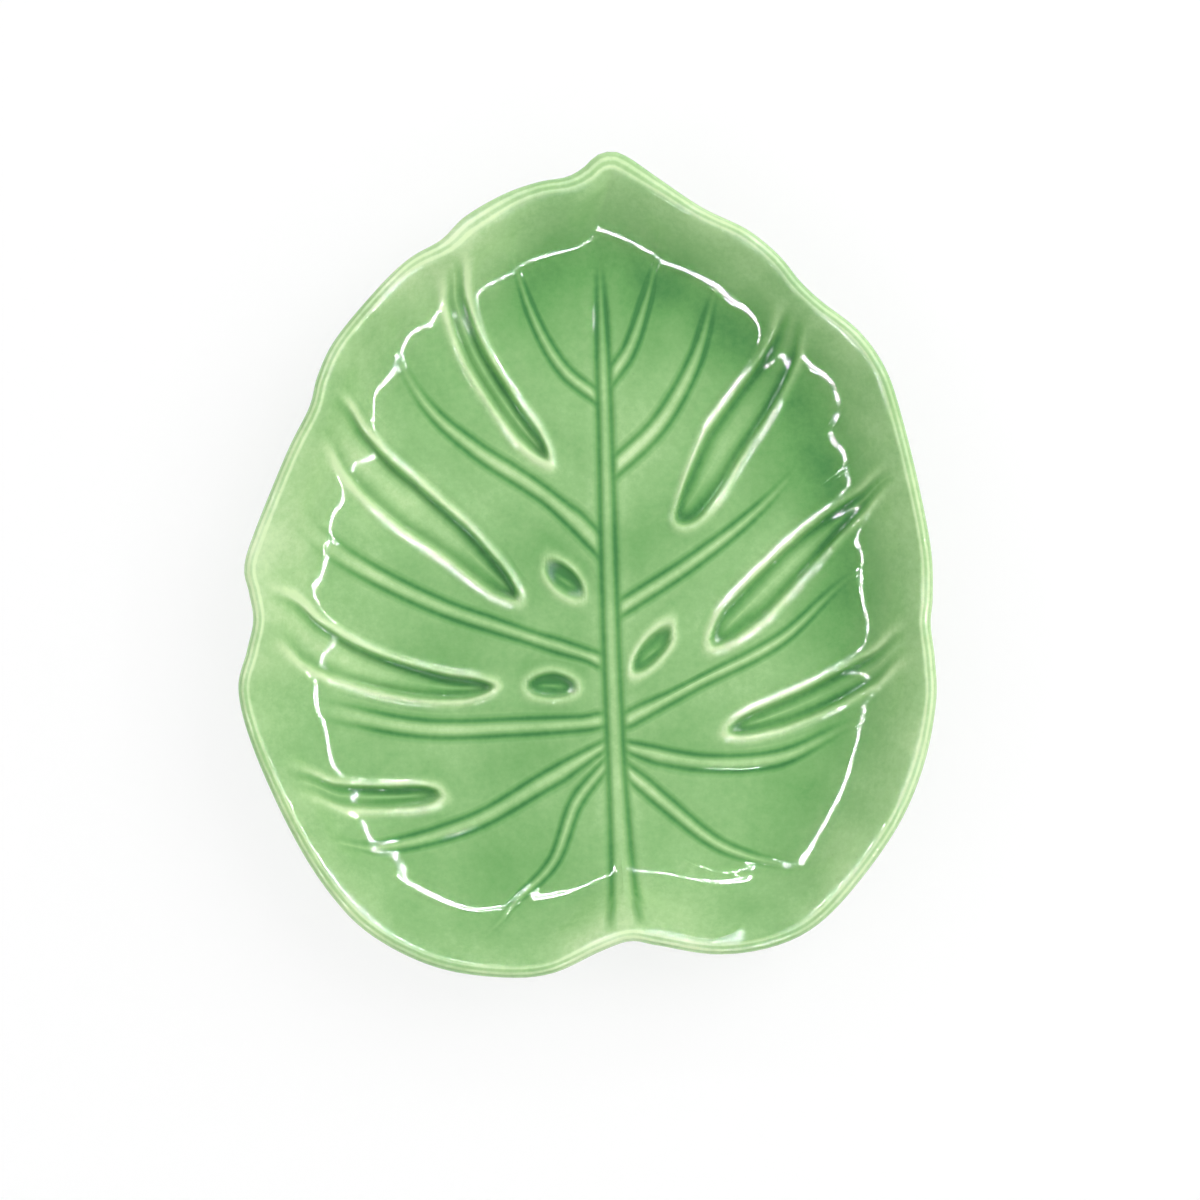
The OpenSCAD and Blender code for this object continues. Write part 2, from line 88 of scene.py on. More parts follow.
@dataclass(frozen=True)
class LeafLine:
    """One line of the leaf, from the midrib to the edge.

    Attributes:
        kind: Vein, slot or plain guide.
        start: Where it leaves the midrib, as a share of the midrib's length from the notch.
        path: Points that it passes, as shares of the leaf's width and length. The last is
            moved on to the edge.
        widths: Widths from its start to its end, as shares of a vein's or a slot's width.
        end: Share of the path at which a vein has faded out.
        openings: Stretches of the path, as shares, where a slot or a hole is sunk.
    """

    kind: LineKind
    start: float
    path: tuple[Point, ...]
    widths: tuple[float, ...] = (1.0, 1.0)
    end: float = 1.0
    openings: tuple[Point, ...] = ()


def vein(start: float, path: tuple[Point, ...], width: float, end: float,
         flare: float = 0.35) -> LeafLine:
    """A vein that narrows, or for some flares, from the midrib to its end.

    Args:
        start: Where it leaves the midrib.
        path: Points that it passes.
        width: Width share at the midrib.
        end: Share of the path at which it has faded out.
        flare: Width at its end, as a share of the width at the midrib.

    Returns:
        The line.
    """
    return LeafLine(LineKind.VEIN, start, path, (width, flare * width), end)


def slot(start: float, path: tuple[Point, ...], widths: tuple[float, ...],
         *openings: Point) -> LeafLine:
    """A line that carries sunk holes or a slot out to the edge.

    Args:
        start: Where it leaves the midrib.
        path: Points that it passes.
        widths: Width shares from its first sunk place to the edge.
        openings: Sunk stretches of the path.

    Returns:
        The line.
    """
    return LeafLine(LineKind.SLOT, start, path, widths, 1.0, openings)


# The outline, clockwise from the notch, as shares of the leaf's width and length
EDGE_SHARES: tuple[Point, ...] = (
    (0.100, -0.462), (0.062, -0.457), (0.020, -0.469), (-0.050, -0.496), (-0.120, -0.501),
    (-0.210, -0.490), (-0.290, -0.460), (-0.350, -0.418), (-0.412, -0.343), (-0.474, -0.232),
    (-0.499, -0.155), (-0.487, -0.105), (-0.478, -0.068), (-0.484, -0.035), (-0.491, -0.005),
    (-0.478, 0.035), (-0.430, 0.135), (-0.398, 0.190), (-0.386, 0.228), (-0.360, 0.273),
    (-0.300, 0.334), (-0.255, 0.370), (-0.209, 0.393), (-0.175, 0.421), (-0.120, 0.448),
    (-0.070, 0.463), (-0.030, 0.469), (-0.006, 0.480), (0.013, 0.495), (0.036, 0.500),
    (0.059, 0.493), (0.105, 0.466), (0.165, 0.432), (0.230, 0.405), (0.275, 0.374),
    (0.305, 0.343), (0.335, 0.319), (0.390, 0.282), (0.428, 0.236), (0.452, 0.175),
    (0.476, 0.092), (0.493, 0.015), (0.495, -0.040), (0.492, -0.072), (0.498, -0.115),
    (0.500, -0.165), (0.484, -0.238), (0.450, -0.310), (0.392, -0.382), (0.330, -0.437),
    (0.265, -0.464), (0.185, -0.473),
)
# The floor of the well, clockwise from its upper left, as shares of the same kind
WELL_SHARES: tuple[Point, ...] = (
    (-0.164, 0.238), (-0.080, 0.306), (0.020, 0.340), (0.100, 0.302), (0.164, 0.248),
    (0.230, 0.188), (0.284, 0.115), (0.316, 0.037), (0.332, -0.047), (0.331, -0.140),
    (0.299, -0.237), (0.212, -0.310), (0.092, -0.334), (-0.031, -0.342), (-0.157, -0.336),
    (-0.262, -0.275), (-0.312, -0.177), (-0.321, -0.078), (-0.307, 0.010), (-0.278, 0.090),
    (-0.233, 0.167),
)
# The rim's middle, and round it, counter-clockwise from the leaf's right in even steps, the
# share of the rim's width in which it turns up from the floor
RIM_MIDDLE_SHARE: Point = (0.01, -0.02)
RIM_BEND_SHARES: tuple[float, ...] = (
    0.81, 0.88, 0.91, 0.92, 0.82, 0.82, 0.92, 0.91, 0.82,
    0.70, 0.64, 0.70, 0.84, 0.64, 0.55, 0.75, 0.81, 0.79,
)
# The midrib from the notch to the tip, and the end of its stalk
MIDRIB_SHARES: tuple[Point, ...] = (
    (0.052, -0.400), (0.040, -0.220), (0.031, -0.022), (0.025, 0.175), (0.017, 0.373),
)
STALK_SHARE: Point = (0.057, -0.445)
# The lines from the midrib to the edge, clockwise from the notch
LINES: tuple[LeafLine, ...] = (
    LeafLine(LineKind.GUIDE, 0.000,
             ((0.053, -0.414), (0.054, -0.428), (0.056, -0.443), (0.059, -0.457))),
    vein(0.238, ((-0.016, -0.291), (-0.051, -0.366), (-0.113, -0.421), (-0.174, -0.497)), 0.80, 0.86),
    vein(0.257, ((-0.062, -0.265), (-0.172, -0.318), (-0.295, -0.346), (-0.414, -0.343)), 1.25, 0.90),
    slot(0.272, ((-0.085, -0.245), (-0.215, -0.280), (-0.346, -0.284), (-0.459, -0.260)),
         (0.66, 0.68, 0.66), (0.495, 1.0)),
    vein(0.288, ((-0.099, -0.199), (-0.237, -0.201), (-0.368, -0.180), (-0.498, -0.151)), 1.00, 0.82, 1.3),
    slot(0.337, ((-0.084, -0.148), (-0.215, -0.150), (-0.354, -0.118), (-0.481, -0.046)),
         (0.95, 0.50, 0.95, 1.22, 1.10), (0.120, 0.265), (0.345, 1.0)),
    vein(0.375, ((-0.084, -0.088), (-0.223, -0.048), (-0.358, 0.012), (-0.455, 0.085)), 0.85, 0.88, 1.5),
    slot(0.425, ((-0.084, -0.048), (-0.193, 0.030), (-0.306, 0.107), (-0.394, 0.198)),
         (0.62, 1.02, 1.28, 1.20, 1.00), (0.280, 1.0)),
    slot(0.468, ((-0.062, -0.004), (-0.186, 0.092), (-0.295, 0.172), (-0.379, 0.249)),
         (0.86, 0.86), (0.115, 0.255)),
    vein(0.546, ((-0.055, 0.083), (-0.164, 0.143), (-0.244, 0.207), (-0.314, 0.321)), 1.15, 0.88),
    slot(0.622, ((-0.059, 0.135), (-0.123, 0.202), (-0.177, 0.283), (-0.208, 0.391)),
         (0.64, 0.70, 0.68, 0.62), (0.235, 1.0)),
    vein(0.782, ((-0.033, 0.239), (-0.074, 0.295), (-0.106, 0.369), (-0.129, 0.445)), 0.80, 0.80),
    LeafLine(LineKind.GUIDE, 1.000,
             ((0.016, 0.405), (0.018, 0.437), (0.026, 0.469), (0.036, 0.500))),
    vein(0.804, ((0.059, 0.264), (0.083, 0.320), (0.098, 0.369), (0.121, 0.454)), 0.85, 0.78),
    vein(0.670, ((0.102, 0.172), (0.155, 0.250), (0.184, 0.332), (0.211, 0.413)), 1.10, 0.78),
    slot(0.555, ((0.127, 0.056), (0.203, 0.154), (0.271, 0.240), (0.318, 0.331)),
         (0.86, 1.18, 1.14, 0.92, 0.60), (0.245, 1.0)),
    vein(0.451, ((0.152, 0.004), (0.254, 0.073), (0.338, 0.154), (0.418, 0.252)), 0.95, 0.66),
    slot(0.345, ((0.128, -0.083), (0.229, 0.000), (0.341, 0.096), (0.455, 0.162)),
         (0.86, 0.86), (0.090, 0.240)),
    slot(0.309, ((0.149, -0.119), (0.263, -0.026), (0.372, 0.060), (0.466, 0.123)),
         (0.96, 1.12, 0.86, 0.56, 0.40), (0.310, 1.0)),
    vein(0.277, ((0.156, -0.145), (0.280, -0.092), (0.382, -0.015), (0.489, 0.030)), 0.95, 0.78),
    slot(0.263, ((0.168, -0.210), (0.295, -0.178), (0.408, -0.130), (0.494, -0.079)),
         (0.66, 0.80, 0.84, 0.80, 0.60), (0.313, 1.0)),
    vein(0.250, ((0.164, -0.241), (0.280, -0.237), (0.389, -0.194), (0.501, -0.163)), 1.25, 0.76),
    vein(0.226, ((0.113, -0.293), (0.196, -0.346), (0.295, -0.370), (0.392, -0.382)), 0.95, 0.78),
)


def smooth_step(low: float, high: float, value: np.ndarray) -> np.ndarray:
    """A soft step from 0 at low to 1 at high.

    Args:
        low: Where the step starts.
        high: Where it ends.
        value: Places to read it at.

    Returns:
        Heights from 0 to 1.
    """
    share = np.clip((value - low) / (high - low), 0.0, 1.0)
    return share * share * (3.0 - 2.0 * share)


def catmull_rom(points: np.ndarray, at: np.ndarray, closed: bool) -> np.ndarray:
    """A smooth curve through points.

    Args:
        points: The points, one to a row.
        at: Places on the curve, counted in points.
        closed: Whether the last point leads back to the first.

    Returns:
        A point for each place.
    """
    count = len(points)
    cell = np.clip(np.floor(at), 0, count - 1 if closed else count - 2).astype(int)
    step = (at - cell)[..., None]

    def pick(shift: int) -> np.ndarray:
        """The point that many places on."""
        place = cell + shift
        return points[place % count] if closed else points[np.clip(place, 0, count - 1)]

    before, near, far, after = pick(-1), pick(0), pick(1), pick(2)
    return 0.5 * (2.0 * near + (far - before) * step
                  + (2.0 * before - 5.0 * near + 4.0 * far - after) * step ** 2
                  + (3.0 * near - before - 3.0 * far + after) * step ** 3)


def nearest_place(points: np.ndarray, line: np.ndarray, closed: bool) -> tuple[np.ndarray, np.ndarray]:
    """The nearest place on a line.

    Args:
        points: Points in plan.
        line: Points along the line.
        closed: Whether its last point leads back to its first.

    Returns:
        The distance of each point from the line, and its place counted in the line's points.
    """
    starts = line if closed else line[:-1]
    run = (np.roll(line, -1, axis=0) if closed else line[1:]) - starts
    reach = (run ** 2).sum(axis=1)
    distance, place = np.empty(len(points)), np.empty(len(points))
    for first in range(0, len(points), BATCH):
        part = points[first:first + BATCH, None, :] - starts[None]
        share = np.clip((part * run[None]).sum(axis=2) / reach, 0.0, 1.0)
        gap = np.linalg.norm(part - share[..., None] * run[None], axis=2)
        best = gap.argmin(axis=1)
        rows = np.arange(len(best))
        distance[first:first + BATCH] = gap[rows, best]
        place[first:first + BATCH] = best + share[rows, best]
    return distance, place


@dataclass
class LeafPlan:
    """The leaf seen from above: its outline, its midrib and the lines between them.

    Attributes:
        width: Width of the leaf.
        length: Length of the leaf, along its midrib.
        edge_steps: Points of the outline for each point of its table.
        soft_power: How closely the soft distance to the edge follows the nearest edge.
        corner_w: Length of edge over which the directions out of it are evened out.
        well_steps: Points round the floor of the well for each point of its table.
    """

    width: float
    length: float
    edge_steps: int = 30
    soft_power: float = 3.0
    corner_w: float = 6.0 * MM
    well_steps: int = 16

    @property
    def size(self) -> np.ndarray:
        """Width and length as one row."""
        return np.array((self.width, self.length))

    @cached_property
    def edge(self) -> np.ndarray:
        """Evenly spaced points round the outline, clockwise from the notch, at the leaf's size."""
        table = np.array(EDGE_SHARES)
        at = np.arange(len(table) * self.edge_steps + 1) / self.edge_steps
        curve = catmull_rom(table, at % len(table), closed=True)
        low, high = curve.min(axis=0), curve.max(axis=0)
        curve = (curve - (low + high) / 2.0) / (high - low) * self.size
        along = np.append(0.0, np.cumsum(np.linalg.norm(np.diff(curve, axis=0), axis=1)))
        even = np.linspace(0.0, along[-1], len(along))[:-1]
        return np.column_stack([np.interp(even, along, axis) for axis in curve.T])

    @cached_property
    def edge_outward(self) -> np.ndarray:
        """Directions out of the leaf at the outline's points, evened out round its corners."""
        along = np.roll(self.edge, -1, axis=0) - np.roll(self.edge, 1, axis=0)
        pitch = np.linalg.norm(along, axis=1).mean() / 2.0
        along /= np.linalg.norm(along, axis=1, keepdims=True)
        outward = np.column_stack((-along[:, 1], along[:, 0]))
        reach = math.ceil(2.5 * self.corner_w / pitch)
        even = np.zeros_like(outward)
        for shift in range(-reach, reach + 1):
            weight = math.exp(-(shift * pitch / self.corner_w) ** 2)
            even += weight * np.roll(outward, shift, axis=0)
        return even / np.linalg.norm(even, axis=1, keepdims=True)

    def round_rim(self, table: tuple[float, ...], points: np.ndarray) -> np.ndarray:
        """Values from a table that goes round the rim in even steps of direction.

        Args:
            table: Values counter-clockwise from the leaf's right.
            points: Points in plan, in the last axis.

        Returns:
            A value for each point, by its direction from the rim's middle.
        """
        way = points - np.array(RIM_MIDDLE_SHARE) * self.size
        at = (np.arctan2(way[..., 1], way[..., 0]) / math.tau * len(table)) % len(table)
        return catmull_rom(np.array(table)[:, None], at.ravel(), closed=True).reshape(at.shape)

    @cached_property
    def well(self) -> np.ndarray:
        """Points all round the floor of the well, clockwise."""
        at = np.arange(len(WELL_SHARES) * self.well_steps) / self.well_steps
        return catmull_rom(np.array(WELL_SHARES), at, closed=True) * self.size

    def well_gap(self, points: np.ndarray) -> np.ndarray:
        """How far points lie outside the floor of the well.

        Args:
            points: Points in plan.

        Returns:
            A distance for each point, and nothing for points on the floor.
        """
        gap, place = nearest_place(points, self.well, closed=True)
        near = np.floor(place).astype(int) % len(self.well)
        run = self.well[(near + 1) % len(self.well)] - self.well[near]
        part = points - self.well[near]
        outside = run[:, 0] * part[:, 1] - run[:, 1] * part[:, 0] > 0.0
        return np.where(outside, gap, 0.0)

    @cached_property
    def midrib(self) -> np.ndarray:
        """Points along the midrib, from the notch to the tip."""
        table = np.array(MIDRIB_SHARES)
        at = np.linspace(0.0, len(table) - 1.0, 161)
        return catmull_rom(table, at, closed=False) * self.size

    def edge_place(self, points: np.ndarray) -> tuple[np.ndarray, np.ndarray]:
        """The nearest place on the outline.

        Args:
            points: Points in plan.

        Returns:
            The distance of each point from the outline, and its place counted in outline points.
        """
        return nearest_place(points, self.edge, closed=True)

    def soft_distance(self, points: np.ndarray) -> np.ndarray:
        """The distance to the outline with its creases rounded off.

        Args:
            points: Points in plan.

        Returns:
            A distance for each point, equal to the true one beside a straight edge.
        """
        power = self.soft_power
        run = np.linalg.norm(np.roll(self.edge, -1, axis=0) - self.edge, axis=1)
        whole = math.sqrt(math.pi) * math.gamma((power - 1.0) / 2.0) / math.gamma(power / 2.0)
        distance = np.empty(len(points))
        for first in range(0, len(points), BATCH):
            part = points[first:first + BATCH, None, :] - self.edge[None]
            gap = (part ** 2).sum(axis=2)
            total = (gap ** (-power / 2.0) * run).sum(axis=1)
            distance[first:first + BATCH] = (total / whole) ** (1.0 / (1.0 - power))
        return distance

    def at_edge(self, place: np.ndarray) -> tuple[np.ndarray, np.ndarray]:
        """Points and outward directions on the outline.

        Args:
            place: Places counted in outline points.

        Returns:
            A point and a unit direction for each place.
        """
        near = np.floor(place).astype(int) % len(self.edge)
        far = (near + 1) % len(self.edge)
        share = (place - np.floor(place))[:, None]
        point = self.edge[near] * (1.0 - share) + self.edge[far] * share
        outward = self.edge_outward[near] * (1.0 - share) + self.edge_outward[far] * share
        return point, outward / np.linalg.norm(outward, axis=1, keepdims=True)

    @cached_property
    def stalk(self) -> np.ndarray:
        """Points along the stalk at the notch and the whole midrib."""
        table = np.array((STALK_SHARE,) + MIDRIB_SHARES)
        return catmull_rom(table, np.linspace(0.0, len(table) - 1.0, 201), closed=False) * self.size

    def line_place(self, points: np.ndarray, line: np.ndarray) -> tuple[np.ndarray, np.ndarray]:
        """The nearest place on a line.

        Args:
            points: Points in plan.
            line: Points along the line.

        Returns:
            The distance of each point from the line, and its place as a share of the line.
        """
        distance, place = nearest_place(points, line, closed=False)
        return distance, place / (len(line) - 1)

    def guide(self, line: LeafLine, at: np.ndarray) -> np.ndarray:
        """Points along a line.

        Args:
            line: The line.
            at: Shares of its path.

        Returns:
            A point for each share.
        """
        table = np.array(MIDRIB_SHARES)
        start = catmull_rom(table, np.array([line.start * (len(table) - 1)]), closed=False)
        points = np.vstack((start, np.array(line.path))) * self.size
        if line.kind is not LineKind.GUIDE:
            _, place = self.edge_place(points[-1:])
            points[-1] = self.at_edge(place)[0][0]
        return catmull_rom(points, at * (len(points) - 1), closed=False)


@dataclass(frozen=True)
class GlazeFlowAndPaintedLight:
    """Tones from -1 dark to 1 pale: how the glaze ran in the kiln, dark where it pools and pale where it
    runs thin, with painted shade, painted light and painted highlight lines.

    Attributes:
        ridge: Tone on the ridge of a vein.
        midrib_ridge: Tone on the ridge of the midrib.
        groove: Tone in the grooves beside a vein.
        groove_w: How far that tone spreads.
        halo: Tone outside the grooves.
        halo_gap: How far outside the grooves it lies.
        halo_w: How far it spreads.
        slot_lip: Tone on the lip round a slot.
        slot_lip_w: How far that tone spreads.
        slot_pool: Tone at the foot of a slot's walls.
        slot_pool_w: How far that pool spreads, near the edge and at the inner end.
        hole_pool_w: How far the pool in a hole spreads.
        wall_pool: Share of a slot's wall that the pool climbs.
        wall_pool_most: Most that it climbs.
        shade_lean: How much darker the upper side of the slots left of the midrib is made, as painted
            shade, and the lower side paler.
        pool_loss: Share of a slot's pool that is lost by the time it comes to the edge.
        slot_inner: Share of a slot over which the pool at its inner end draws in.
        crown: Tone on the crowned floor of a slot.
        crown_gap: How far from the walls that tone starts.
        crown_run: Width in which it is reached, as a share of the slot's half width.
        crown_half: Half width of a slot that has all of that tone.
        slot_fade: Distances from the edge between which the tones of a slot come in.
        lip: Tone on the outer side of the plate's lip.
        lip_under: Tone added under the lip.
        painted_lip_highlight: Tone of the painted highlight lines round the lip.
        painted_lip_highlight_angles: Angles round the lip of those painted highlight lines, in degrees.
        painted_lip_highlight_w: How far they spread, in degrees.
        lip_outer: Angles between which the outer side's tone comes in, in degrees.
        lip_lower: Angles between which the tone under the lip comes in, in degrees.
        even: Tone of the whole face.
        upper: Tone added on the upper rim.
        upper_band: Distances from the edge between which it comes in.
        lit: Painted light added on the left of the leaf.
        lit_band: Places across the leaf between which it comes in, as shares.
        lit_tilt: How much those places lean along the leaf.
        foot: Tone at the foot of the rim on the left of the leaf, and painted shade added at the foot on
            its upper right.
        foot_gap: How far from the edge that foot lies.
        foot_w: How far its tone spreads.
        shade_band: Places across the leaf between which the painted shade of the upper right comes in, as
            shares.
        shade_tilt: How much those places lean along the leaf.
        centre: Tone added in the middle of the well.
        centre_at: Where that middle lies, as shares of the leaf's width and length.
        centre_r: How far that tone spreads, as a share.
    """

    ridge: float = 0.50
    midrib_ridge: float = 0.24
    groove: float = -1.00
    groove_w: float = 0.96 * MM
    halo: float = 0.10
    halo_gap: float = 2.4 * MM
    halo_w: float = 1.5 * MM
    slot_lip: float = 0.85
    slot_lip_w: float = 1.5 * MM
    slot_pool: float = -1.05
    slot_pool_w: Point = (1.2 * MM, 2.9 * MM)
    hole_pool_w: float = 3.4 * MM
    wall_pool: float = 0.7
    wall_pool_most: float = 2.0 * MM
    shade_lean: float = 0.70
    pool_loss: float = 0.45
    slot_inner: float = 0.5
    crown: float = 0.30
    crown_gap: float = 0.4 * MM
    crown_run: float = 0.6
    crown_half: float = 5.0 * MM
    slot_fade: Point = (4.0 * MM, 15.0 * MM)
    lip: float = 0.48
    lip_under: float = -0.60
    painted_lip_highlight: float = 0.62
    painted_lip_highlight_angles: Point = (68.0, 106.0)
    painted_lip_highlight_w: float = 7.5
    lip_outer: Point = (105.0, 50.0)
    lip_lower: Point = (0.0, -50.0)
    even: float = 0.10
    upper: float = 0.32
    upper_band: Point = (20.0 * MM, 3.0 * MM)
    lit: float = 0.16
    lit_band: Point = (0.1, -0.5)
    lit_tilt: float = -0.35
    foot: Point = (-0.02, -0.92)
    foot_gap: float = 21.0 * MM
    foot_w: float = 8.5 * MM
    shade_band: Point = (-0.2, 0.7)
    shade_tilt: float = 0.8
    centre: float = -0.10
    centre_at: Point = (0.04, -0.04)
    centre_r: float = 0.18

    def over_vein(self, offset: np.ndarray, half: np.ndarray, ridge: float) -> np.ndarray:
        """Tones across a vein: pooled in its grooves, thin on its ridge.

        Args:
            offset: Distances from the vein's middle line.
            half: Half widths of the vein there.
            ridge: Tone on its ridge.

        Returns:
            A tone for each distance.
        """
        beside = np.abs(offset) - half
        groove = np.exp(-(beside / self.groove_w) ** 2)
        halo = np.exp(-((beside - self.halo_gap) / self.halo_w) ** 2)
        top = np.clip(1.0 - (offset / half) ** 2, 0.0, None)
        return ridge * top + self.groove * groove + self.halo * halo

    def over_slot(self, inside: np.ndarray, half: np.ndarray, wall: np.ndarray, side: np.ndarray,
                  along: np.ndarray, hole: bool) -> np.ndarray:
        """Tones across a slot: thin on its lip, pooled at the foot of its walls, with painted shade on one
        side.

        Args:
            inside: Distances in from the crest of the lip, less than nothing outside.
            half: Half widths of the slot there.
            wall: Widths of its wall there.
            side: Which side of it the places lie on, from -1 to 1 for the side that gets painted shade.
            along: Shares of the way from its inner end to the edge.
            hole: Whether it is a small hole, which pools all over.

        Returns:
            A tone for each place.
        """
        loss = 0.0 if hole else self.pool_loss * smooth_step(0.0, 1.0, along)
        inner = 1.0 if hole else 1.0 - smooth_step(0.0, self.slot_inner, along)
        out, end = self.slot_pool_w
        spread = self.hole_pool_w if hole else out + (end - out) * inner
        past = np.clip(inside - wall, -self.wall_pool_most, None)
        pool = np.exp(-(past / np.where(inside < wall, self.wall_pool * wall, spread)) ** 2)
        # Painted shade: the pool tone leans to one side of the slot.
        pool = pool * (1.0 + self.shade_lean * side) * (1.0 - loss)
        broad = np.clip(half / self.crown_half, 0.0, 1.0) ** 2
        rise = smooth_step(0.0, 1.0, (inside - wall - self.crown_gap) / (self.crown_run * half))
        lip = np.exp(-(inside / self.slot_lip_w) ** 2)
        return self.slot_lip * lip + self.slot_pool * pool + self.crown * broad * rise * (1.0 - inner)

    def over_face(self, shares: np.ndarray, gap: np.ndarray) -> np.ndarray:
        """Tones over the face at large, apart from its relief, with painted light on the left and painted
        shade on the upper right.

        Args:
            shares: Places as shares of the leaf's width and length, in the last axis.
            gap: Distances from the edge.

        Returns:
            A tone for each place.
        """
        x, y = np.moveaxis(shares, -1, 0)
        # Painted shade: the rim's foot darker on the upper right, which faces away from the key lamp.
        foot = np.exp(-((gap - self.foot_gap) / self.foot_w) ** 2)
        shade = smooth_step(*self.shade_band, x + self.shade_tilt * y)
        upper = smooth_step(*self.upper_band, gap)
        # Painted light: the left of the leaf made paler.
        lit = smooth_step(*self.lit_band, x + self.lit_tilt * y)
        away = (x - self.centre_at[0]) ** 2 + (y - self.centre_at[1]) ** 2
        centre = np.exp(-away / self.centre_r ** 2)
        return (self.even + self.upper * upper + self.lit * lit + self.centre * centre
                + foot * (self.foot[0] + self.foot[1] * shade))

    def round_lip(self, turn: float, face: np.ndarray) -> np.ndarray:
        """Tones of a row round the plate's lip, with painted highlight lines.

        Args:
            turn: Angle of the row round the lip.
            face: Tones of the face where it runs into the lip.

        Returns:
            A tone for each column.
        """
        angle = np.array(math.degrees(turn))
        outer, lower = smooth_step(*self.lip_outer, angle), smooth_step(*self.lip_lower, angle)
        # Painted highlight: pale lines at the angles where the strip lamps shine in the lip.
        lines = np.exp(-((angle - np.array(self.painted_lip_highlight_angles)) / self.painted_lip_highlight_w) ** 2).sum()
        return face * (1.0 - outer) + self.lip * outer + self.lip_under * lower + self.painted_lip_highlight * lines


@dataclass
class LeafForm:
    """The leaf in height: the dish, the lip, the veins, the slots and the foot ring.

    Attributes:
        height: Height of the plate.
        clay_t: Thickness of the clay.
        glaze_t: Thickness of the glaze.
        lip_slope: Slope of the rim where it meets the lip.
        lip_out: Half width of the rounded lip in plan.
        lip_swells: Places where the lip is broader, as shares of the leaf's width and length,
            with the added half width there.
        swell_reach: How far such a place reaches along the edge.
        foot_h: Height of the foot ring.
        foot_w: Width of the foot ring.
        foot_in: How far the foot ring stands in from the leaf's sides and ends.
        foot_centre: Centre of the foot ring in plan.
        foot_draft: How much the foot ring narrows towards the table.
        bare_h: Height of the bare clay on the foot ring.
        vein_w: Width of a vein of share 1, between its grooves.
        vein_h: Height of a vein over the blade.
        groove_d: Depth of the grooves beside a vein.
        groove_w: Half width of such a groove.
        blade_h: Swell of the blade between the veins.
        slot_w: Width of a slot of share 1, between its lips.
        slot_d: Depth of a slot at the foot of its walls.
        slot_crown: Rise of a slot's floor between its walls.
        slot_wall_w: Width of a slot's wall in plan.
        lip_h: Height of the lip round a slot.
        lip_w: Width of the lip round a slot.
        slot_end: Length in which a slot's inner end rounds out.
        slot_inner: Share of a slot over which its floor rises to its crown.
        slot_fade: Distances from the edge between which a slot comes to its depth.
        hole_depth: Depth of a hole as a share of a slot's.
    """

    height: float
    clay_t: float = 4.6 * MM
    glaze_t: float = 0.4 * MM
    lip_slope: float = 0.74
    lip_out: float = 2.3 * MM
    lip_swells: tuple[tuple[Point, float], ...] = (
        ((0.036, 0.500), 1.2 * MM), ((-0.165, 0.425), 1.3 * MM))
    swell_reach: float = 15.0 * MM
    foot_h: float = 3.0 * MM
    foot_w: float = 5.0 * MM
    foot_in: Point = (38.0 * MM, 46.0 * MM)
    foot_centre: Point = (0.0, -4.4 * MM)
    foot_draft: float = 1.0 * MM
    bare_h: float = 1.2 * MM
    vein_w: float = 4.2 * MM
    vein_h: float = 0.25 * MM
    groove_d: float = 0.30 * MM
    groove_w: float = 0.80 * MM
    blade_h: float = 0.4 * MM
    slot_w: float = 10.6 * MM
    slot_d: float = 1.9 * MM
    slot_crown: float = 0.8 * MM
    slot_wall_w: float = 1.8 * MM
    lip_h: float = 0.95 * MM
    lip_w: float = 1.25 * MM
    slot_end: float = 9.0 * MM
    slot_inner: float = 0.5
    slot_fade: Point = (1.0 * MM, 27.0 * MM)
    hole_depth: float = 0.7

    @property
    def lip_r(self) -> float:
        """Radius of the rounded lip of the plate."""
        return self.clay_t / 2.0 + self.glaze_t

    @property
    def floor_z(self) -> float:
        """Height of the glazed floor of the well."""
        return self.foot_h + self.clay_t + self.glaze_t

    @property
    def lip_tilt(self) -> float:
        """Angle round the lip, from its crest, at which the rim runs into it."""
        return math.atan(self.lip_slope * self.lip_out / self.lip_r)

    @property
    def face_end(self) -> float:
        """Distance from the edge at which the face runs into the lip."""
        return self.lip_out * (1.0 + math.sin(self.lip_tilt))

    @property
    def rise(self) -> float:
        """Height from the floor of the well to where the rim runs into the lip."""
        return self.height - self.lip_r * (1.0 - math.cos(self.lip_tilt)) - self.floor_z

    def dish(self, from_lip: np.ndarray, from_well: np.ndarray,
             bend: np.ndarray) -> tuple[np.ndarray, np.ndarray]:
        """Height of the glazed face over the floor, without its relief, and its slope.

        Args:
            from_lip: Distances from the lip, less than nothing beyond it.
            from_well: Distances from the floor of the well.
            bend: Shares of the rim's width in which it turns up from the floor.

        Returns:
            A height and a slope for each point.
        """
        inside = np.clip(from_lip, 0.0, None)
        whole = np.maximum(inside + from_well, 1.0 * MM)
        share = from_well / whole
        steep = 2.0 * self.rise / whole - self.lip_slope * (1.0 - bend)
        turn, past = np.clip(share / bend, 0.0, 1.0), np.clip(share - bend, 0.0, None)
        ease = (self.lip_slope - steep) / (1.0 - bend)
        height = whole * (steep * bend * (turn ** 3 - 0.5 * turn ** 4)
                          + steep * past + 0.5 * ease * past ** 2)
        slope = steep * turn ** 2 * (3.0 - 2.0 * turn) + ease * past
        return height + np.clip(-from_lip, 0.0, None) * self.lip_slope, slope

    def back(self, from_lip: np.ndarray, from_well: np.ndarray, bend: np.ndarray) -> np.ndarray:
        """Heights of the glazed back, one wall under the face."""
        height, slope = self.dish(from_lip, from_well, bend)
        return self.floor_z + height - 2.0 * self.lip_r * np.sqrt(1.0 + slope ** 2)

    def lip_half(self, edge: np.ndarray, size: np.ndarray) -> np.ndarray:
        """Half width of the lip along the edge.

        Args:
            edge: Points on the outline.
            size: Width and length of the leaf.

        Returns:
            A half width for each point.
        """
        half = np.full(len(edge), self.lip_out)
        for share, more in self.lip_swells:
            gap = np.linalg.norm(edge - np.array(share) * size, axis=1)
            half += more * np.exp(-(gap / self.swell_reach) ** 2)
        return half

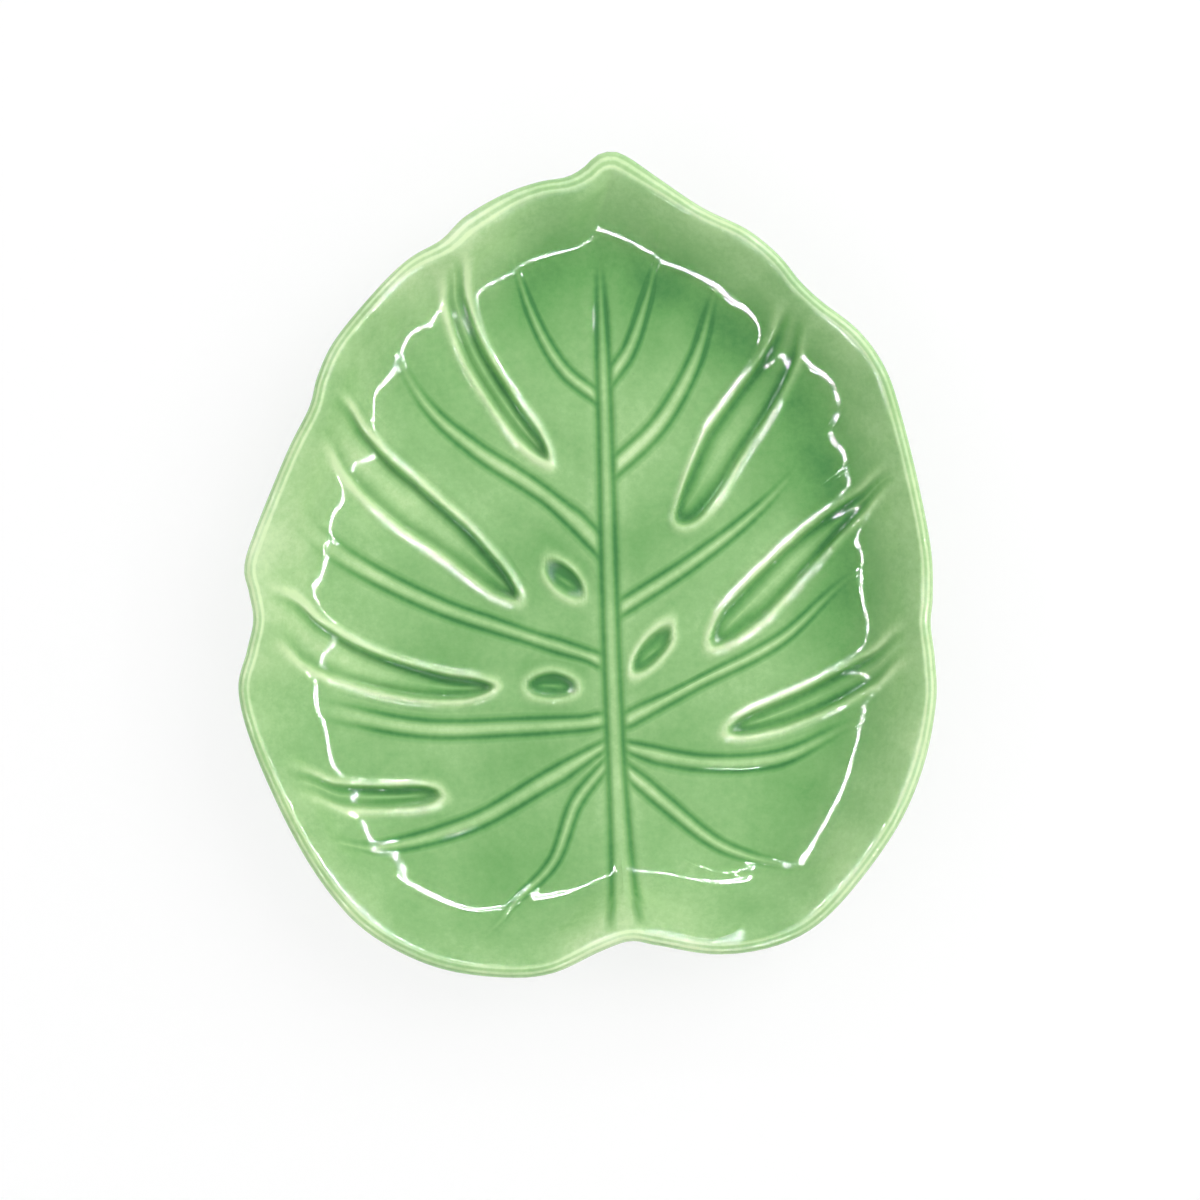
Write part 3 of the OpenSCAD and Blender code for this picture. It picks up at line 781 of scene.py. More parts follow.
    def across_vein(self, offset: np.ndarray, half: np.ndarray) -> np.ndarray:
        """Relief across a vein: a soft ridge between two grooves.

        Args:
            offset: Distances from the vein's middle line.
            half: Half widths of the vein there.

        Returns:
            Heights over the blade.
        """
        ridge = self.vein_h * np.clip(1.0 - (offset / (half + self.groove_w)) ** 2, 0.0, None)
        groove = self.groove_d * np.exp(-((np.abs(offset) - half) / self.groove_w) ** 2)
        return (ridge - groove) * np.minimum(1.0, half / (0.4 * self.vein_w))

    def slot_wall(self, half: np.ndarray) -> np.ndarray:
        """Widths of a slot's wall in plan, for its half widths."""
        return np.minimum(self.slot_wall_w, 0.55 * half)

    def across_slot(self, inside: np.ndarray, half: np.ndarray, flat: np.ndarray) -> np.ndarray:
        """Relief across a slot: a lip, a wall and a crowned floor.

        Args:
            inside: Distances in from the crest of the lip, less than nothing outside.
            half: Half widths of the slot there.
            flat: From 0 where the floor is crowned to 1 where it is flat.

        Returns:
            Heights over the blade.
        """
        lip = self.lip_h * np.exp(-(np.clip(-inside, 0.0, None) / self.lip_w) ** 2)
        wall = self.slot_wall(half)
        fall = (self.slot_d + self.lip_h) * smooth_step(0.0, 1.0, inside / wall)
        room = np.maximum(half - wall, 0.2 * MM)
        crown = self.slot_crown * smooth_step(0.0, 1.0, (inside - 0.8 * wall) / room)
        return lip - fall + crown * np.minimum(1.0, half / (4.0 * MM)) * (1.0 - flat)


@dataclass
class LeafRibs:
    """The ribs of the leaf's face: rows from the midrib outwards, columns round the leaf.

    Attributes:
        plan: The leaf seen from above.
        form: The leaf in height.
        flow: How the glaze ran, with painted light, painted shade and painted highlights.
        midrib_rows: Distances of the first rows from the midrib's middle line.
        well_rows: Number of rows from there to the lip.
        filler_gap: Largest step between columns at the edge.
        vein_roles: Places of a vein's columns, in half widths of the vein.
        slot_roles: Places of a slot's columns inside its lip, in half widths of the slot.
        lip_roles: Places of a slot's columns outside its lip, in widths of the lip.
        guide_w: Place of a plain guide's own column.
        vein_fade: Shares of the path, from a vein's end, between which it fades out.
        midrib_fade: Shares of the midrib in which it fades out at the notch and at the tip.
        lean_least: Least slant of a line to the rows that its columns allow for.
        crowding: Share of the room between two lines that their columns may fill.
        blade_w: Room between two lines at which the blade has all its swell.
        blade_fade: Distances from the edge between which the blade's swell comes in.
        midrib_widths: Half width of the midrib in vein widths, at shares of its length.
    """

    plan: LeafPlan
    form: LeafForm
    flow: GlazeFlowAndPaintedLight = GlazeFlowAndPaintedLight()
    midrib_rows: tuple[float, ...] = tuple(
        step * MM for step in (0.25, 0.6, 1.0, 1.35, 1.65, 1.95, 2.3, 2.8, 3.5))
    well_rows: int = 86
    filler_gap: float = 2.3 * MM
    vein_roles: tuple[float, ...] = (0.3, 0.55, 0.75, 0.9, 1.05, 1.2, 1.45, 1.9)
    slot_roles: tuple[float, ...] = (0.22, 0.42, 0.56, 0.66, 0.75, 0.84, 0.92, 1.0)
    lip_roles: tuple[float, ...] = (0.25, 0.55, 0.95, 1.45, 2.1)
    guide_w: float = 1.2 * MM
    vein_fade: Point = (-0.24, 0.02)
    midrib_fade: Point = (0.20, 0.08)
    lean_least: float = 0.5
    crowding: float = 0.94
    blade_w: float = 14.0 * MM
    blade_fade: Point = (4.0 * MM, 20.0 * MM)
    midrib_widths: tuple[Point, ...] = (
        (0.0, 1.25), (0.1, 1.00), (0.2, 0.78), (0.27, 0.64), (0.36, 0.52), (0.68, 0.45),
        (0.88, 0.38), (1.0, 0.15))

    def half_width(self, line: LeafLine, at: np.ndarray) -> np.ndarray:
        """Half width of a vein or a slot along its path.

        Args:
            line: The line.
            at: Shares of its path.

        Returns:
            A half width for each share.
        """
        if line.kind is LineKind.VEIN:
            near, far = line.widths
            along = np.clip(at / line.end, 0.0, 1.0)
            return self.form.vein_w / 2.0 * (near + (far - near) * along ** 2.2)
        first = line.openings[0][0] if line.openings else 0.0
        marks = np.linspace(first, 1.0, len(line.widths))
        return self.form.slot_w / 2.0 * np.interp(at, marks, line.widths)

    def column_offsets(self, line: LeafLine, at: np.ndarray) -> np.ndarray:
        """Offsets of a line's own columns to one side, from its middle line outwards.

        Args:
            line: The line.
            at: Shares of its path, one for each row.

        Returns:
            Offsets with a row for each share and a column for each role.
        """
        half = self.half_width(line, at)[:, None]
        if line.kind is LineKind.GUIDE:
            return np.full((len(at), 1), self.guide_w)
        if line.kind is LineKind.VEIN:
            return half * np.array(self.vein_roles)
        inner = half * np.array(self.slot_roles)
        outer = half + self.form.lip_w * np.array(self.lip_roles)
        first, last = line.openings[0][0], line.openings[-1][1]
        grown = smooth_step(0.25 * first, 0.95 * first, at)
        if last < 1.0:
            grown = grown * (1.0 - smooth_step(last, last + 0.15, at))
        return np.hstack((inner, outer)) * (0.1 + 0.9 * grown)[:, None]

    def line_relief(self, line: LeafLine, at: np.ndarray, offset: np.ndarray,
                    squeeze: np.ndarray, reach: float,
                    edge_gap: np.ndarray) -> tuple[np.ndarray, np.ndarray]:
        """Relief of a line at one of its columns, and how the glaze lies on it, with painted shade on one
        side of the left slots.

        Args:
            line: The line.
            at: Shares of its path, one for each row.
            offset: Offsets from its middle line, less than nothing towards the line before.
            squeeze: How much its columns are pressed together.
            reach: Length of the path.
            edge_gap: Distances from the edge.

        Returns:
            A height over the blade and a tone for each row.
        """
        half = self.half_width(line, at) * squeeze
        if line.kind is LineKind.GUIDE:
            return np.zeros(len(at)), np.zeros(len(at))
        if line.kind is LineKind.VEIN:
            fade = 1.0 - smooth_step(*self.vein_fade, at - line.end)
            relief = self.form.across_vein(offset, half) * np.sqrt(squeeze)
            return relief * fade, self.flow.over_vein(offset, half, self.flow.ridge) * fade
        depth, tone = np.zeros(len(at)), np.zeros(len(at))
        for first, last in line.openings:
            hole = last < 1.0
            span = (last - first) / 2.0 if hole else self.form.slot_end / reach
            past = (at - (first + span)) / span
            if not hole:
                past = np.minimum(past, 0.0)
            side = offset / half
            out = np.hypot(side, past) + 1e-4
            grade = np.hypot(side / half, past / (span * reach)) / out
            inside = (1.0 - out) / np.maximum(grade, 0.5 / half)
            near = np.exp(-(np.clip(np.abs(past) - 1.0, 0.0, None) * span * reach
                            / (2.0 * self.form.lip_w)) ** 2)
            along = np.clip((at - first) / (1.0 - first), 0.0, 1.0)
            flat = np.ones(len(at)) if hole else 1.0 - smooth_step(0.0, self.form.slot_inner, along)
            sunk = self.form.across_slot(inside, half, flat) * (self.form.hole_depth if hole else 1.0)
            # Painted shade on the upper side of the slots left of the midrib.
            left = np.clip(side, -1.0, 1.0) * (line.path[-1][0] < 0.0)
            depth = depth + sunk * near
            tone = tone + near * self.flow.over_slot(
                inside, half, self.form.slot_wall(half), left, along, hole)
        return (depth * smooth_step(*self.form.slot_fade, edge_gap),
                tone * smooth_step(*self.flow.slot_fade, edge_gap))

    def midrib_relief(self, points: np.ndarray) -> tuple[np.ndarray, np.ndarray, np.ndarray]:
        """Relief of the midrib, how the glaze lies on it, and how much of the face is its own.

        Args:
            points: Points in plan.

        Returns:
            A height, a tone and a share from 0 to 1 for each point.
        """
        gap, place = self.plan.line_place(points, self.plan.stalk)
        shares, widths = zip(*self.midrib_widths)
        half = np.maximum(np.interp(place, shares, widths) * self.form.vein_w, 0.4 * MM)
        low, high = self.midrib_fade
        fade = smooth_step(0.0, low, place) * smooth_step(0.0, high, 1.0 - place)
        inside = 1.0 - smooth_step(0.0, 1.0, (gap / half - 1.0) / 1.1)
        tone = self.flow.over_vein(gap, half, self.flow.midrib_ridge)
        return self.form.across_vein(gap, half) * fade, tone * fade, inside * fade

    @cached_property
    def stations(self) -> np.ndarray:
        """Shares of each line's path at which the rows cross it."""
        columns = []
        fine = np.linspace(0.0, 1.0, 801)
        for line in LINES:
            points = self.plan.guide(line, fine)
            from_rib, _ = self.plan.line_place(points, self.plan.midrib)
            from_edge, _ = self.plan.edge_place(points)
            first = np.interp(self.midrib_rows, np.maximum.accumulate(from_rib), fine)
            inner = np.nonzero(from_edge >= self.form.face_end)[0][-1]
            last = fine[inner]
            rest = np.linspace(first[-1], last, self.well_rows + 1)[1:]
            columns.append(np.concatenate((first, rest)))
        return np.array(columns).T

    @cached_property
    def face(self) -> tuple[np.ndarray, np.ndarray, np.ndarray, np.ndarray]:
        """Plan points (rows, columns, 2), relief and tone (rows, columns), coarse columns."""
        count = len(LINES)
        centre, along, reach, gaps = [], [], [], []
        for index, line in enumerate(LINES):
            at = self.stations[:, index]
            step = 1e-3
            ahead = self.plan.guide(line, np.clip(at + step, 0.0, 1.0))
            behind = self.plan.guide(line, np.clip(at - step, 0.0, 1.0))
            way = ahead - behind
            path = self.plan.guide(line, np.linspace(0.0, 1.0, 101))
            centre.append(self.plan.guide(line, at))
            along.append(way / np.linalg.norm(way, axis=1, keepdims=True))
            reach.append(np.linalg.norm(np.diff(path, axis=0), axis=1).sum())
            gaps.append(self.plan.edge_place(centre[-1])[0])
        points, relief, tone, coarse = [], [], [], []
        for index, line in enumerate(LINES):
            beside = (index + 1) % count
            other = LINES[beside]
            chord = centre[beside] - centre[index]
            width = np.linalg.norm(chord, axis=1)
            chord = chord / width[:, None]
            lean, lean_other = (
                np.clip(np.abs(chord[:, 0] * way[:, 1] - chord[:, 1] * way[:, 0]), self.lean_least, 1.0)
                for way in (along[index], along[beside]))
            own = self.column_offsets(line, self.stations[:, index])
            own_other = self.column_offsets(other, self.stations[:, beside])
            need = own[:, -1] / lean + own_other[:, -1] / lean_other
            squeeze = np.minimum(1.0, self.crowding * width / need)

            def add(at_line: int, offset: np.ndarray, side: float, tilt: np.ndarray) -> None:
                """Adds a column that belongs to a line.

                Args:
                    at_line: Number of the line.
                    offset: Offsets from its middle line.
                    side: 1 towards the next line, -1 towards the line before.
                    tilt: How squarely the row crosses the line.
                """
                shift = side * (offset * squeeze / tilt)[:, None] * chord
                points.append(centre[at_line] + shift)
                # glaze holds the line's tone, with painted shade on one side of the left slots.
                height, glaze = self.line_relief(
                    LINES[at_line], self.stations[:, at_line], side * offset * squeeze, squeeze,
                    reach[at_line], gaps[at_line])
                relief.append(height)
                tone.append(glaze)

            def mark(role: int, whole: int, kind: LineKind) -> None:
                """Keeps a column for the coarse faces if its place shapes the line."""
                steps = {LineKind.VEIN: (1, 4, 7), LineKind.SLOT: (2, 5, 7, 12)}
                if role in steps.get(kind, (whole - 1,)):
                    coarse.append(len(points) - 1)

            add(index, np.zeros(len(own)), 1.0, lean)
            coarse.append(len(points) - 1)
            for role in range(own.shape[1]):
                add(index, own[:, role], 1.0, lean)
                mark(role, own.shape[1], line.kind)
            from_here = points[-1]
            to_there = centre[beside] - (own_other[:, -1] * squeeze / lean_other)[:, None] * chord
            room = np.linalg.norm(to_there - from_here, axis=1)
            fillers = max(2, math.ceil(room[-1] / self.filler_gap) - 1)
            start_relief, start_tone = relief[-1], tone[-1]
            add(beside, own_other[:, -1], -1.0, lean_other)
            end_relief, end_tone = relief.pop(), tone.pop()
            points.pop()
            for filler in range(fillers):
                share = (filler + 1.0) / (fillers + 1.0)
                swell = self.form.blade_h * np.minimum(1.0, room / self.blade_w)
                points.append(from_here * (1.0 - share) + to_there * share)
                relief.append(start_relief * (1.0 - share) ** 2 + end_relief * share ** 2
                              + swell * math.sin(math.pi * share) ** 1.5
                              * smooth_step(*self.blade_fade, gaps[index]))
                tone.append(start_tone * (1.0 - share) ** 2 + end_tone * share ** 2)
                if filler % 4 == 1:
                    coarse.append(len(points) - 1)
            for role in reversed(range(own_other.shape[1])):
                add(beside, own_other[:, role], -1.0, lean_other)
                mark(role, own_other.shape[1], other.kind)
        return (np.array(points).transpose(1, 0, 2), np.array(relief).T, np.array(tone).T,
                np.array(coarse))


@dataclass
class LeafSkin:
    """Rows of points for a whole face of the leaf, from the midrib round to the foot ring.

    Attributes:
        ribs: The ribs of the face.
        lip_steps: Rows round the lip.
        back_steps: Rows down the back.
        wall_steps: Rows down the wall of the foot ring.
        most_sunk: How far the coarse skins may lie under the face at most.
        uneven: Height of the slow unevenness of hand finished clay.
        waves: Direction, length in millimetres and shift of each of its waves.
        uneven_fade: Distances from the edge between which it comes in.
        lip_end: Angle short of the lip's lowest line at which the back starts.
        under_blend: Share of the back in which it takes over from the lip.
        foot_root: Rounding between the back and the wall of the foot ring.
        lip_hold: Width of the lip's side of the rim that follows the columns alone.
        square_w: Width of the band inside the edge in which the columns turn square to it.
        tip_w: Half width of the leaf's tip.
        tip_reach: How much further in the rim's rise follows the columns at the tip.
    """

    ribs: LeafRibs
    lip_steps: int = 16
    back_steps: int = 12
    wall_steps: int = 4
    most_sunk: float = 3.0 * MM
    uneven: float = 0.10 * MM
    waves: tuple[tuple[float, float, float], ...] = (
        (0.4, 31.0, 0.0), (1.5, 24.0, 1.1), (2.3, 19.0, 2.7), (2.9, 38.0, 0.6))
    uneven_fade: Point = (4.0 * MM, 12.0 * MM)
    lip_end: float = math.radians(35.0)
    under_blend: float = 0.12
    foot_root: float = 1.5 * MM
    lip_hold: float = 3.0 * MM
    square_w: float = 11.5 * MM
    tip_w: float = 16.0 * MM
    tip_reach: float = 40.0 * MM

    @cached_property
    def places(self) -> np.ndarray:
        """Places on the outline at which the columns go over the lip."""
        return self.edge_places(self.ribs.face[0][-1])

    def squared_up(self, flat: np.ndarray) -> np.ndarray:
        """Turns the columns near the lip square to the edge.

        Args:
            flat: Plan points (rows, columns, 2) of the face.

        Returns:
            The moved points.
        """
        plan, form = self.ribs.plan, self.ribs.form
        edge, outward = plan.at_edge(self.places)
        end = form.face_end * form.lip_half(edge, plan.size) / form.lip_out
        last, _ = plan.edge_place(flat[-1])
        result = flat.copy()
        for row, points in enumerate(flat):
            gap, _ = plan.edge_place(points)
            share = 1.0 - smooth_step(0.0, self.square_w, gap - last)
            square = edge - outward * (gap + (end - last) * share)[:, None]
            result[row] = points * (1.0 - share[:, None]) + square * share[:, None]
        return result

    @cached_property
    def face(self) -> tuple[np.ndarray, np.ndarray]:
        """Points (rows, columns, 3) and tones (rows, columns) of the glazed face: glaze, painted light and
        painted shade.
        """
        plan, form = self.ribs.plan, self.ribs.form
        flat, relief, tone, _ = self.ribs.face
        flat = self.squared_up(flat)
        shape = relief.shape
        points = flat.reshape(-1, 2)
        gap = plan.soft_distance(points).reshape(shape)
        from_well = plan.well_gap(points).reshape(shape)
        rib, rib_tone, cover = (part.reshape(shape) for part in self.ribs.midrib_relief(points))
        slow = self.unevenness(points).reshape(shape)
        dish, _ = form.dish(self.from_lip(flat, gap), from_well, plan.round_rim(RIM_BEND_SHARES, flat))
        height = form.floor_z + dish + relief * (1.0 - cover) + rib
        height += slow * smooth_step(*self.uneven_fade, gap)
        # over_face adds painted light on the left and painted shade on the upper right.
        tone = tone * (1.0 - cover) + rib_tone + self.ribs.flow.over_face(flat / plan.size, gap)
        return np.dstack((flat, height)), tone

    def from_lip(self, flat: np.ndarray, gap: np.ndarray) -> np.ndarray:
        """How far the face's points lie from the lip.

        Args:
            flat: Plan points (rows, columns, 2).
            gap: Soft distances from the edge.

        Returns:
            Distances along the columns near the lip, and soft distances further in.
        """
        steps = np.linalg.norm(np.diff(flat, axis=0), axis=2)
        along = np.vstack((np.cumsum(steps[::-1], axis=0)[::-1], np.zeros(flat.shape[1])))
        edge = flat[-1] - flat[-1, np.argmax(flat[-1, :, 1])]
        tip = np.exp(-(edge ** 2).sum(axis=1) / self.tip_w ** 2)
        near = 1.0 - smooth_step(self.lip_hold, self.square_w + tip * self.tip_reach, along)
        soft = gap - gap[-1]
        ratio = np.array([self.square_w / np.interp(self.square_w, far[::-1], fall[::-1])
                          for far, fall in zip(along.T, soft.T)])
        for _ in range(6):
            ratio = 0.5 * ratio + 0.25 * (np.roll(ratio, 1) + np.roll(ratio, -1))
        return along * near + soft * ratio * (1.0 - near)

    def unevenness(self, points: np.ndarray) -> np.ndarray:
        """Slow waves in the face.

        Args:
            points: Points in plan.

        Returns:
            A height for each point.
        """
        total = np.zeros(len(points))
        for turn, wave, shift in self.waves:
            way = np.array((math.cos(turn), math.sin(turn)))
            total += np.sin(points @ way * math.tau / (wave * MM) + shift)
        return total * self.uneven / len(self.waves)

    def foot_ring(self, angle: np.ndarray, grow: float, height: float) -> np.ndarray:
        """A ring round the foot.

        Args:
            angle: Angles round the foot's centre.
            grow: How far the ring stands outside the foot's outer wall.
            height: Height of the ring.

        Returns:
            A point for each angle.
        """
        plan, form = self.ribs.plan, self.ribs.form
        half = plan.size / 2.0 - np.array(form.foot_in) + grow
        flat = np.column_stack((np.cos(angle), np.sin(angle))) * half + np.array(form.foot_centre)
        return np.column_stack((flat, np.full(len(angle), height)))

    def rows(self, skin: Skin, columns: np.ndarray, step: int) -> list[np.ndarray]:
        """Rows from the midrib to the bare line of the foot ring.

        Args:
            skin: The face to follow.
            columns: Numbers of the columns to keep.
            step: Keeps every so many rows of the face.

        Returns:
            One array of points for each row.
        """
        plan, form = self.ribs.plan, self.ribs.form
        points, _ = self.face
        depth = skin.value
        height = points[:, :, 2]
        if step > 1:
            spread = [np.roll(height, shift, axis=0) for shift in range(-step, step + 1)]
            for shift, moved in zip(range(-step, step + 1), spread):
                if shift > 0:
                    moved[:shift] = height[:shift]
                if shift < 0:
                    moved[shift:] = height[shift:]
            height = np.minimum.reduce(spread)
            height[-1] = points[-1, :, 2]
            height = np.maximum(self.least_between(height, columns), points[:, :, 2] - self.most_sunk)
        kept = list(range(0, len(points) - 1, step)) + [len(points) - 1]
        result = []
        for row in kept[:-1]:
            level = np.column_stack((points[row, :, :2], height[row] - depth))
            result.append(level[columns])
        edge, outward = plan.at_edge(self.places[columns])
        half = form.lip_half(edge, plan.size)[:, None]
        middle = edge - outward * half
        lip_z = form.height - form.lip_r
        for turn in self.lip_turns(step):
            flat = middle + outward * (half - depth) * math.cos(turn)
            level = lip_z + (form.lip_r - depth) * math.sin(turn)
            result.append(np.column_stack((flat, np.full(len(flat), level))))
        under = result[-1]
        foot = plan.size / 2.0 - np.array(form.foot_in)
        scaled = (under[:, :2] - np.array(form.foot_centre)) / foot
        angle = np.unwrap(np.arctan2(scaled[:, 1], scaled[:, 0]))
        grow = form.glaze_t - depth
        root = self.foot_ring(angle, grow + self.foot_root, 0.0)
        for share in np.linspace(0.0, 1.0, self.back_steps // step + 2)[1:]:
            flat = under[:, :2] * (1.0 - share) + root[:, :2] * share
            gap = plan.soft_distance(flat) - form.face_end
            blend = smooth_step(0.0, self.under_blend, np.full(len(flat), share))
            stay = (1.0 - share) * (1.0 - blend)
            bend = plan.round_rim(RIM_BEND_SHARES, flat)
            level = form.back(gap, plan.well_gap(flat), bend) + depth
            result.append(np.column_stack((flat, under[:, 2] * stay + level * (1.0 - stay))))
        top = form.foot_h - form.glaze_t + depth
        for share in np.linspace(0.0, 1.0, self.wall_steps // step + 2)[1:]:
            level = top + (form.bare_h - top) * share
            flare = self.foot_root * (1.0 - share) ** 3 - form.foot_draft * (1.0 - level / form.foot_h)
            result.append(self.foot_ring(angle, grow + flare, level))
        return result

    def least_between(self, height: np.ndarray, columns: np.ndarray) -> np.ndarray:
        """Lowers some columns until the lines between them lie under all the others.

        Args:
            height: Heights (rows, columns).
            columns: Numbers of the columns.

        Returns:
            The heights with those columns lowered.
        """
        result = height.copy()
        wide = height.shape[1]
        for index, column in enumerate(columns):
            before, after = columns[index - 1], columns[(index + 1) % len(columns)]
            span = np.arange(column - (column - before) % wide, column + (after - column) % wide + 1)
            result[:, column] = height[:, span % wide].min(axis=1)
        return result

    def lip_turns(self, step: int) -> np.ndarray:
        """Angles of the rows round the lip, from the face over the crest to the back.

        Args:
            step: Keeps every so many rows.

        Returns:
            The angles, with nothing at the lip's outermost line.
        """
        ahead = math.pi / 2.0 + self.ribs.form.lip_tilt
        return np.linspace(ahead, self.lip_end - math.pi / 2.0, self.lip_steps // step + 3)

    def edge_places(self, points: np.ndarray) -> np.ndarray:
        """Places on the outline for the columns, evened out so that none bunch or gape.

        Args:
            points: Plan points at which the columns reach the lip.

        Returns:
            A place for each column, counted in outline points.
        """
        whole = len(self.ribs.plan.edge)
        _, place = self.ribs.plan.edge_place(points)
        place = np.unwrap(place, period=whole)
        turn = round((place[-1] - place[0]) / whole) * whole
        for _ in range(12):
            ahead = np.append(place[1:], place[0] + turn)
            behind = np.append(place[-1] - turn, place[:-1])
            place = 0.5 * place + 0.25 * (ahead + behind)
        return place % whole

    def tones(self) -> list[np.ndarray]:
        """How thick the glaze lies on each row of the coat, from -1 pooled to 1 thin, with painted light,
        painted shade and painted highlight lines.
        """
        _, face = self.face
        rows = list(face[:-1])
        for turn in self.lip_turns(1):
            rows.append(self.ribs.flow.round_lip(turn, face[-1]))
        return rows


def grid_mesh(bm: bmesh.types.BMesh, rows: list[np.ndarray]) -> list[bmesh.types.BMVert]:
    """Wraps a grid round a set of closed rows.

    Args:
        bm: The mesh to add it to.
        rows: Points of each row, the first row innermost.

    Returns:
        The grid's vertices, row by row, with the first column repeated at the end of each row.
    """
    wide, tall = len(rows[0]), len(rows) - 1
    made = bmesh.ops.create_grid(bm, x_segments=wide, y_segments=tall, size=1.0)["verts"]
    ordered = sorted(made, key=lambda vert: (round(vert.co.y, 6), round(vert.co.x, 6)))
    for row, points in enumerate(rows):
        for column in range(wide + 1):
            ordered[row * (wide + 1) + column].co = points[column % wide]
    return ordered


def close_slit(bm: bmesh.types.BMesh, above: float) -> None:
    """Bridges the two sides of the narrow opening along the midrib.

    Args:
        bm: The mesh.
        above: Height that the opening lies over.
    """
    rim = [edge for edge in bm.edges
           if edge.is_boundary and all(vert.co.z > above for vert in edge.verts)]
    ends = sorted({vert for edge in rim for vert in edge.verts}, key=lambda vert: vert.co.y)
    for end in (ends[0], ends[-1]):
        beside = [edge for edge in end.link_edges if edge in rim]
        rim.remove(max(beside, key=lambda edge: edge.other_vert(end).co.x))
    bmesh.ops.scale(bm, vec=(1.0 / MM,) * 3, verts=bm.verts[:])
    bmesh.ops.bridge_loops(bm, edges=rim)
    bmesh.ops.scale(bm, vec=(MM,) * 3, verts=bm.verts[:])


def finish_object(bm: bmesh.types.BMesh, name: str, material: bpy.types.Material) -> bpy.types.Object:
    """Makes an object of a mesh, with smooth faces that point outwards.

    Args:
        bm: The mesh.
        name: Name of the piece.
        material: Its finish.

    Returns:
        The object, linked to the scene.
    """
    bmesh.ops.recalc_face_normals(bm, faces=bm.faces[:])
    mesh = bpy.data.meshes.new(name)
    bm.to_mesh(mesh)
    bm.free()
    mesh.shade_smooth()
    mesh.materials.append(material)
    piece = bpy.data.objects.new(name, mesh)
    bpy.context.scene.collection.objects.link(piece)
    return piece


class NodeSheet:
    """A material's node tree with short calls for the nodes that the finishes use."""

    def __init__(self, name: str) -> None:
        """Starts an empty material with a shader.

        Args:
            name: Name of the material.
        """
        self.material = bpy.data.materials.new(name)
        self.material.use_nodes = True
        self.tree = self.material.node_tree
        self.tree.nodes.clear()
        self.shader = self.tree.nodes.new("ShaderNodeBsdfPrincipled")
        output = self.tree.nodes.new("ShaderNodeOutputMaterial")
        self.link(self.shader.outputs["BSDF"], output.inputs["Surface"])
        self.place = self.tree.nodes.new("ShaderNodeTexCoord").outputs["Object"]

    def link(self, source: bpy.types.NodeSocket, target: bpy.types.NodeSocket) -> None:
        """Joins two sockets."""
        self.tree.links.new(source, target)

    def noise(self, scale: float, detail: float, rough: float = 0.5) -> bpy.types.NodeSocket:
        """Noise on the piece's own coordinates.

        Args:
            scale: Waves to a metre.
            detail: Finer layers.
            rough: Strength of the finer layers.

        Returns:
            The noise's value socket.
        """
        node = self.tree.nodes.new("ShaderNodeTexNoise")
        node.inputs["Scale"].default_value = scale
        node.inputs["Detail"].default_value = detail
        node.inputs["Roughness"].default_value = rough
        self.link(self.place, node.inputs["Vector"])
        return node.outputs["Fac"]

    def attribute(self, name: str) -> bpy.types.NodeSocket:
        """The value of one of the piece's own attributes."""
        node = self.tree.nodes.new("ShaderNodeAttribute")
        node.attribute_name = name
        return node.outputs["Fac"]

    def remap(self, value: bpy.types.NodeSocket, source: Point, target: Point) -> bpy.types.NodeSocket:
        """Moves a value from one range to another.

        Args:
            value: The value.
            source: Range to read.
            target: Range to give.

        Returns:
            The moved value.
        """
        node = self.tree.nodes.new("ShaderNodeMapRange")
        for socket, number in zip(("From Min", "From Max", "To Min", "To Max"), source + target):
            node.inputs[socket].default_value = number
        self.link(value, node.inputs["Value"])
        return node.outputs["Result"]

    def join(self, first: bpy.types.NodeSocket, second: bpy.types.NodeSocket,
             operation: str = "ADD") -> bpy.types.NodeSocket:
        """Joins two values by a sum or a product.

        Args:
            first: One value.
            second: The other value.
            operation: Name of the operation.

        Returns:
            The joined value.
        """
        node = self.tree.nodes.new("ShaderNodeMath")
        node.operation = operation
        self.link(first, node.inputs[0])
        self.link(second, node.inputs[1])
        return node.outputs["Value"]

    def ramp(self, value: bpy.types.NodeSocket,
             stops: tuple[tuple[float, tuple[float, float, float]], ...]) -> bpy.types.NodeSocket:
        """Colours along a value.

        Args:
            value: The value, from 0 to 1.
            stops: Places and colours.

        Returns:
            The colour.
        """
        node = self.tree.nodes.new("ShaderNodeValToRGB")
        marks = node.color_ramp.elements
        while len(marks) < len(stops):
            marks.new(0.5)
        for mark, (place, colour) in zip(marks, stops):
            mark.position = place
            mark.color = (*colour, 1.0)
        self.link(value, node.inputs["Fac"])
        return node.outputs["Color"]

    def mix(self, share: bpy.types.NodeSocket, first: bpy.types.NodeSocket,
            colour: tuple[float, float, float]) -> bpy.types.NodeSocket:
        """Lays a colour over another.

        Args:
            share: How much of it shows.
            first: The colour under it.
            colour: The colour on top.

        Returns:
            The mixed colour.
        """
        node = self.tree.nodes.new("ShaderNodeMix")
        node.data_type = "RGBA"
        self.link(share, node.inputs["Factor"])
        self.link(first, node.inputs["A"])
        node.inputs["B"].default_value = (*colour, 1.0)
        return node.outputs["Result"]

    def bump(self, height: bpy.types.NodeSocket, strength: float, distance: float) -> None:
        """Raises the shader's surface by a height.

        Args:
            height: The height.
            strength: How much of it is used.
            distance: Height that a value of 1 stands for.
        """
        node = self.tree.nodes.new("ShaderNodeBump")
        node.inputs["Strength"].default_value = strength
        node.inputs["Distance"].default_value = distance
        self.link(height, node.inputs["Height"])
        self.link(node.outputs["Normal"], self.shader.inputs["Normal"])


